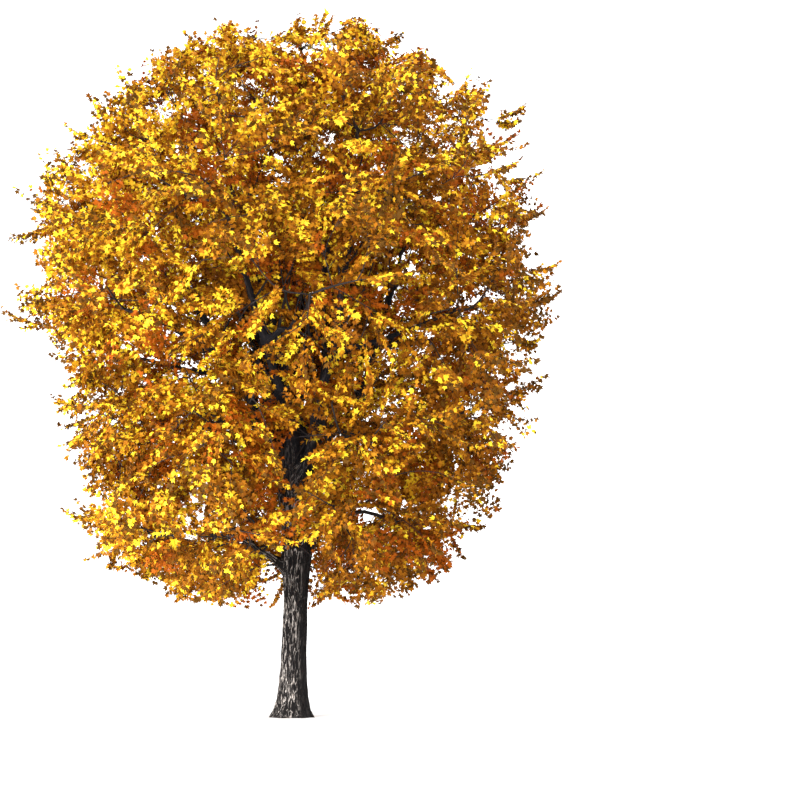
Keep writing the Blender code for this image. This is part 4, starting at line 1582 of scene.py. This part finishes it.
# %% Rods from arrays
SHOOT_RADIUS = 0.006
END_RADIUS = 0.003
AXIS_STEPS = 5
AXIS_SIDES = 3
LINE_STEPS = 9
LINE_SIDES = 6
NEARLY_UPRIGHT = 0.9
SPIKE_ANGLES = (0, math.radians(120), math.radians(240))
SPIKE_FACES = np.array(((0, 1, 3), (1, 2, 3), (2, 0, 3), (2, 1, 0)))


def rods(lines, radii, sides):
    """Tapering rods along rows of lines, all with the same number of points: corners and triangles."""
    count, steps = lines.shape[:2]
    ways = unit(np.gradient(lines, axis=1))
    lean = unit(lines[:, -1] - lines[:, 0])
    leaning = np.abs(lean[:, 2:]) < NEARLY_UPRIGHT
    square = unit(np.cross(lean, np.where(leaning, (0, 0, 1.0), (1.0, 0, 0))))
    first = unit(np.cross(ways, square[:, None]))[:, :, None]
    second = np.cross(ways[:, :, None], first)
    angles = (np.arange(sides) * 2 * math.pi / sides)[:, None]
    ring = first * np.cos(angles) + second * np.sin(angles)
    corners = lines[:, :, None] + ring * radii[:, :, None, None]
    low = np.arange(sides)
    high = (low + 1) % sides
    walls = ((low, high, high + sides), (low, high + sides, low + sides))
    fan = np.array([(0, side + 1, side) for side in range(1, sides - 1)])
    cap = fan[:, (0, 2, 1)] + (steps - 1) * sides
    faces = [np.stack(wall, axis=1) + step * sides for wall in walls for step in range(steps - 1)]
    faces = np.concatenate(faces + [fan, cap]) + np.arange(count)[:, None, None] * steps * sides
    return corners.reshape(-1, 3), faces.reshape(-1, 3)


def axis_rods(own):
    shares = np.linspace(0, 1, AXIS_STEPS)
    rows = np.stack([on_axis(share)[own] for share in shares], axis=1)
    radii = np.tile(AXIS_RADIUS + (END_RADIUS - AXIS_RADIUS) * shares, (len(rows), 1))
    return rods(rows, radii, AXIS_SIDES)


def shoot_rods(own):
    """The shoots' wood: three-sided spikes, each to its tip leaf."""
    length = shoot_length[own][:, None]
    starts, ways = shoot_start[own], shoot_way[own]
    tips = starts + (ways + SHOOT_DROOP * DOWN) * length
    first = unit(np.cross(ways, shoot_normal[own]))
    second = np.cross(ways, first)
    ring = [first * math.cos(angle) + second * math.sin(angle) for angle in SPIKE_ANGLES]
    corners = np.stack([starts + side * SHOOT_RADIUS for side in ring] + [tips], axis=1)
    faces = SPIKE_FACES + np.arange(len(starts))[:, None, None] * len(SPIKE_FACES)
    return corners.reshape(-1, 3), faces.reshape(-1, 3)


def line_rods(tier):
    """The twigs and inner branches of one tier, each cut back to its last spray."""
    rows, radii = [], []
    for line, reach in zip(lines, line_reach):
        if line.mass.tier == tier and reach > 0:
            picks = np.linspace(0, reach, LINE_STEPS)
            rows.append(along_line(line.gone, line.points, picks))
            radii.append(np.interp(picks, line.gone, line.radii))
    return rods(np.array(rows), np.array(radii), LINE_SIDES)


def stacked(parts):
    """Several arrays of corners and triangles as one of each."""
    corners, faces, total = [], [], 0
    for part_corners, part_faces in parts:
        corners.append(part_corners)
        faces.append(part_faces + total)
        total += len(part_corners)
    return np.vstack(corners), np.vstack(faces)


print("triangles of all the axes:", len(axis_rods(spray_kept)[1]))

# %% Twig finish and pieces
TWIG_DARK = (0.015, 0.012, 0.013, 1)
TWIG_PALE = (0.045, 0.037, 0.034, 1)
TWIG_SPOTS = {"scale": 9, "detail": 2}

twig_finish = Finish("twig_finish", roughness=0.8)
twig_place = twig_finish.node("ShaderNodeTexCoord", {}, {}, output=3)
twig_colour = twig_finish.mix(twig_finish.spots(twig_place, **TWIG_SPOTS), TWIG_DARK, TWIG_PALE)
twig_finish.shade(Base_Color=twig_colour, Specular_IOR_Level=SHEEN)

twig_pieces = {}
for number, tier in enumerate(tier_names):
    own_sprays = spray_kept & (tier_of_spray == number)
    own_shoots = tier_of_spray[shoot_owner] == number
    corners, faces = stacked((line_rods(tier), axis_rods(own_sprays), shoot_rods(own_shoots)))
    numbers = np.zeros(len(faces), int)
    piece = mesh_from(f"{tier}_twigs", corners, faces, [twig_finish.material], numbers)
    piece.data.shade_smooth()
    twig_pieces[tier] = piece
    print(piece.name, len(faces), "triangles")

# %% [markdown]
# ## Handing over
#
# Each piece rides on the one body, for a tree has no joints, and the parts of the construction that
# it stands for are hidden.

# %% Bodies and nodes
def nodes_named(start):
    return sorted(name for name in frame["nodes"] if name.startswith(start))


def hand_over(piece, nodes):
    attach(piece, "root")
    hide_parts(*nodes)


for part, piece in bark_pieces.items():
    hand_over(piece, nodes_named("trunk" if part == "trunk" else f"bough_{part}"))
for tier, piece in twig_pieces.items():
    hand_over(piece, nodes_named(f"foliage_{tier}"))
for (tier, half), piece in leaf_pieces.items():
    own = [mass.name for mass in masses if mass.tier == tier and half_of(mass) == half]
    hand_over(piece, own)
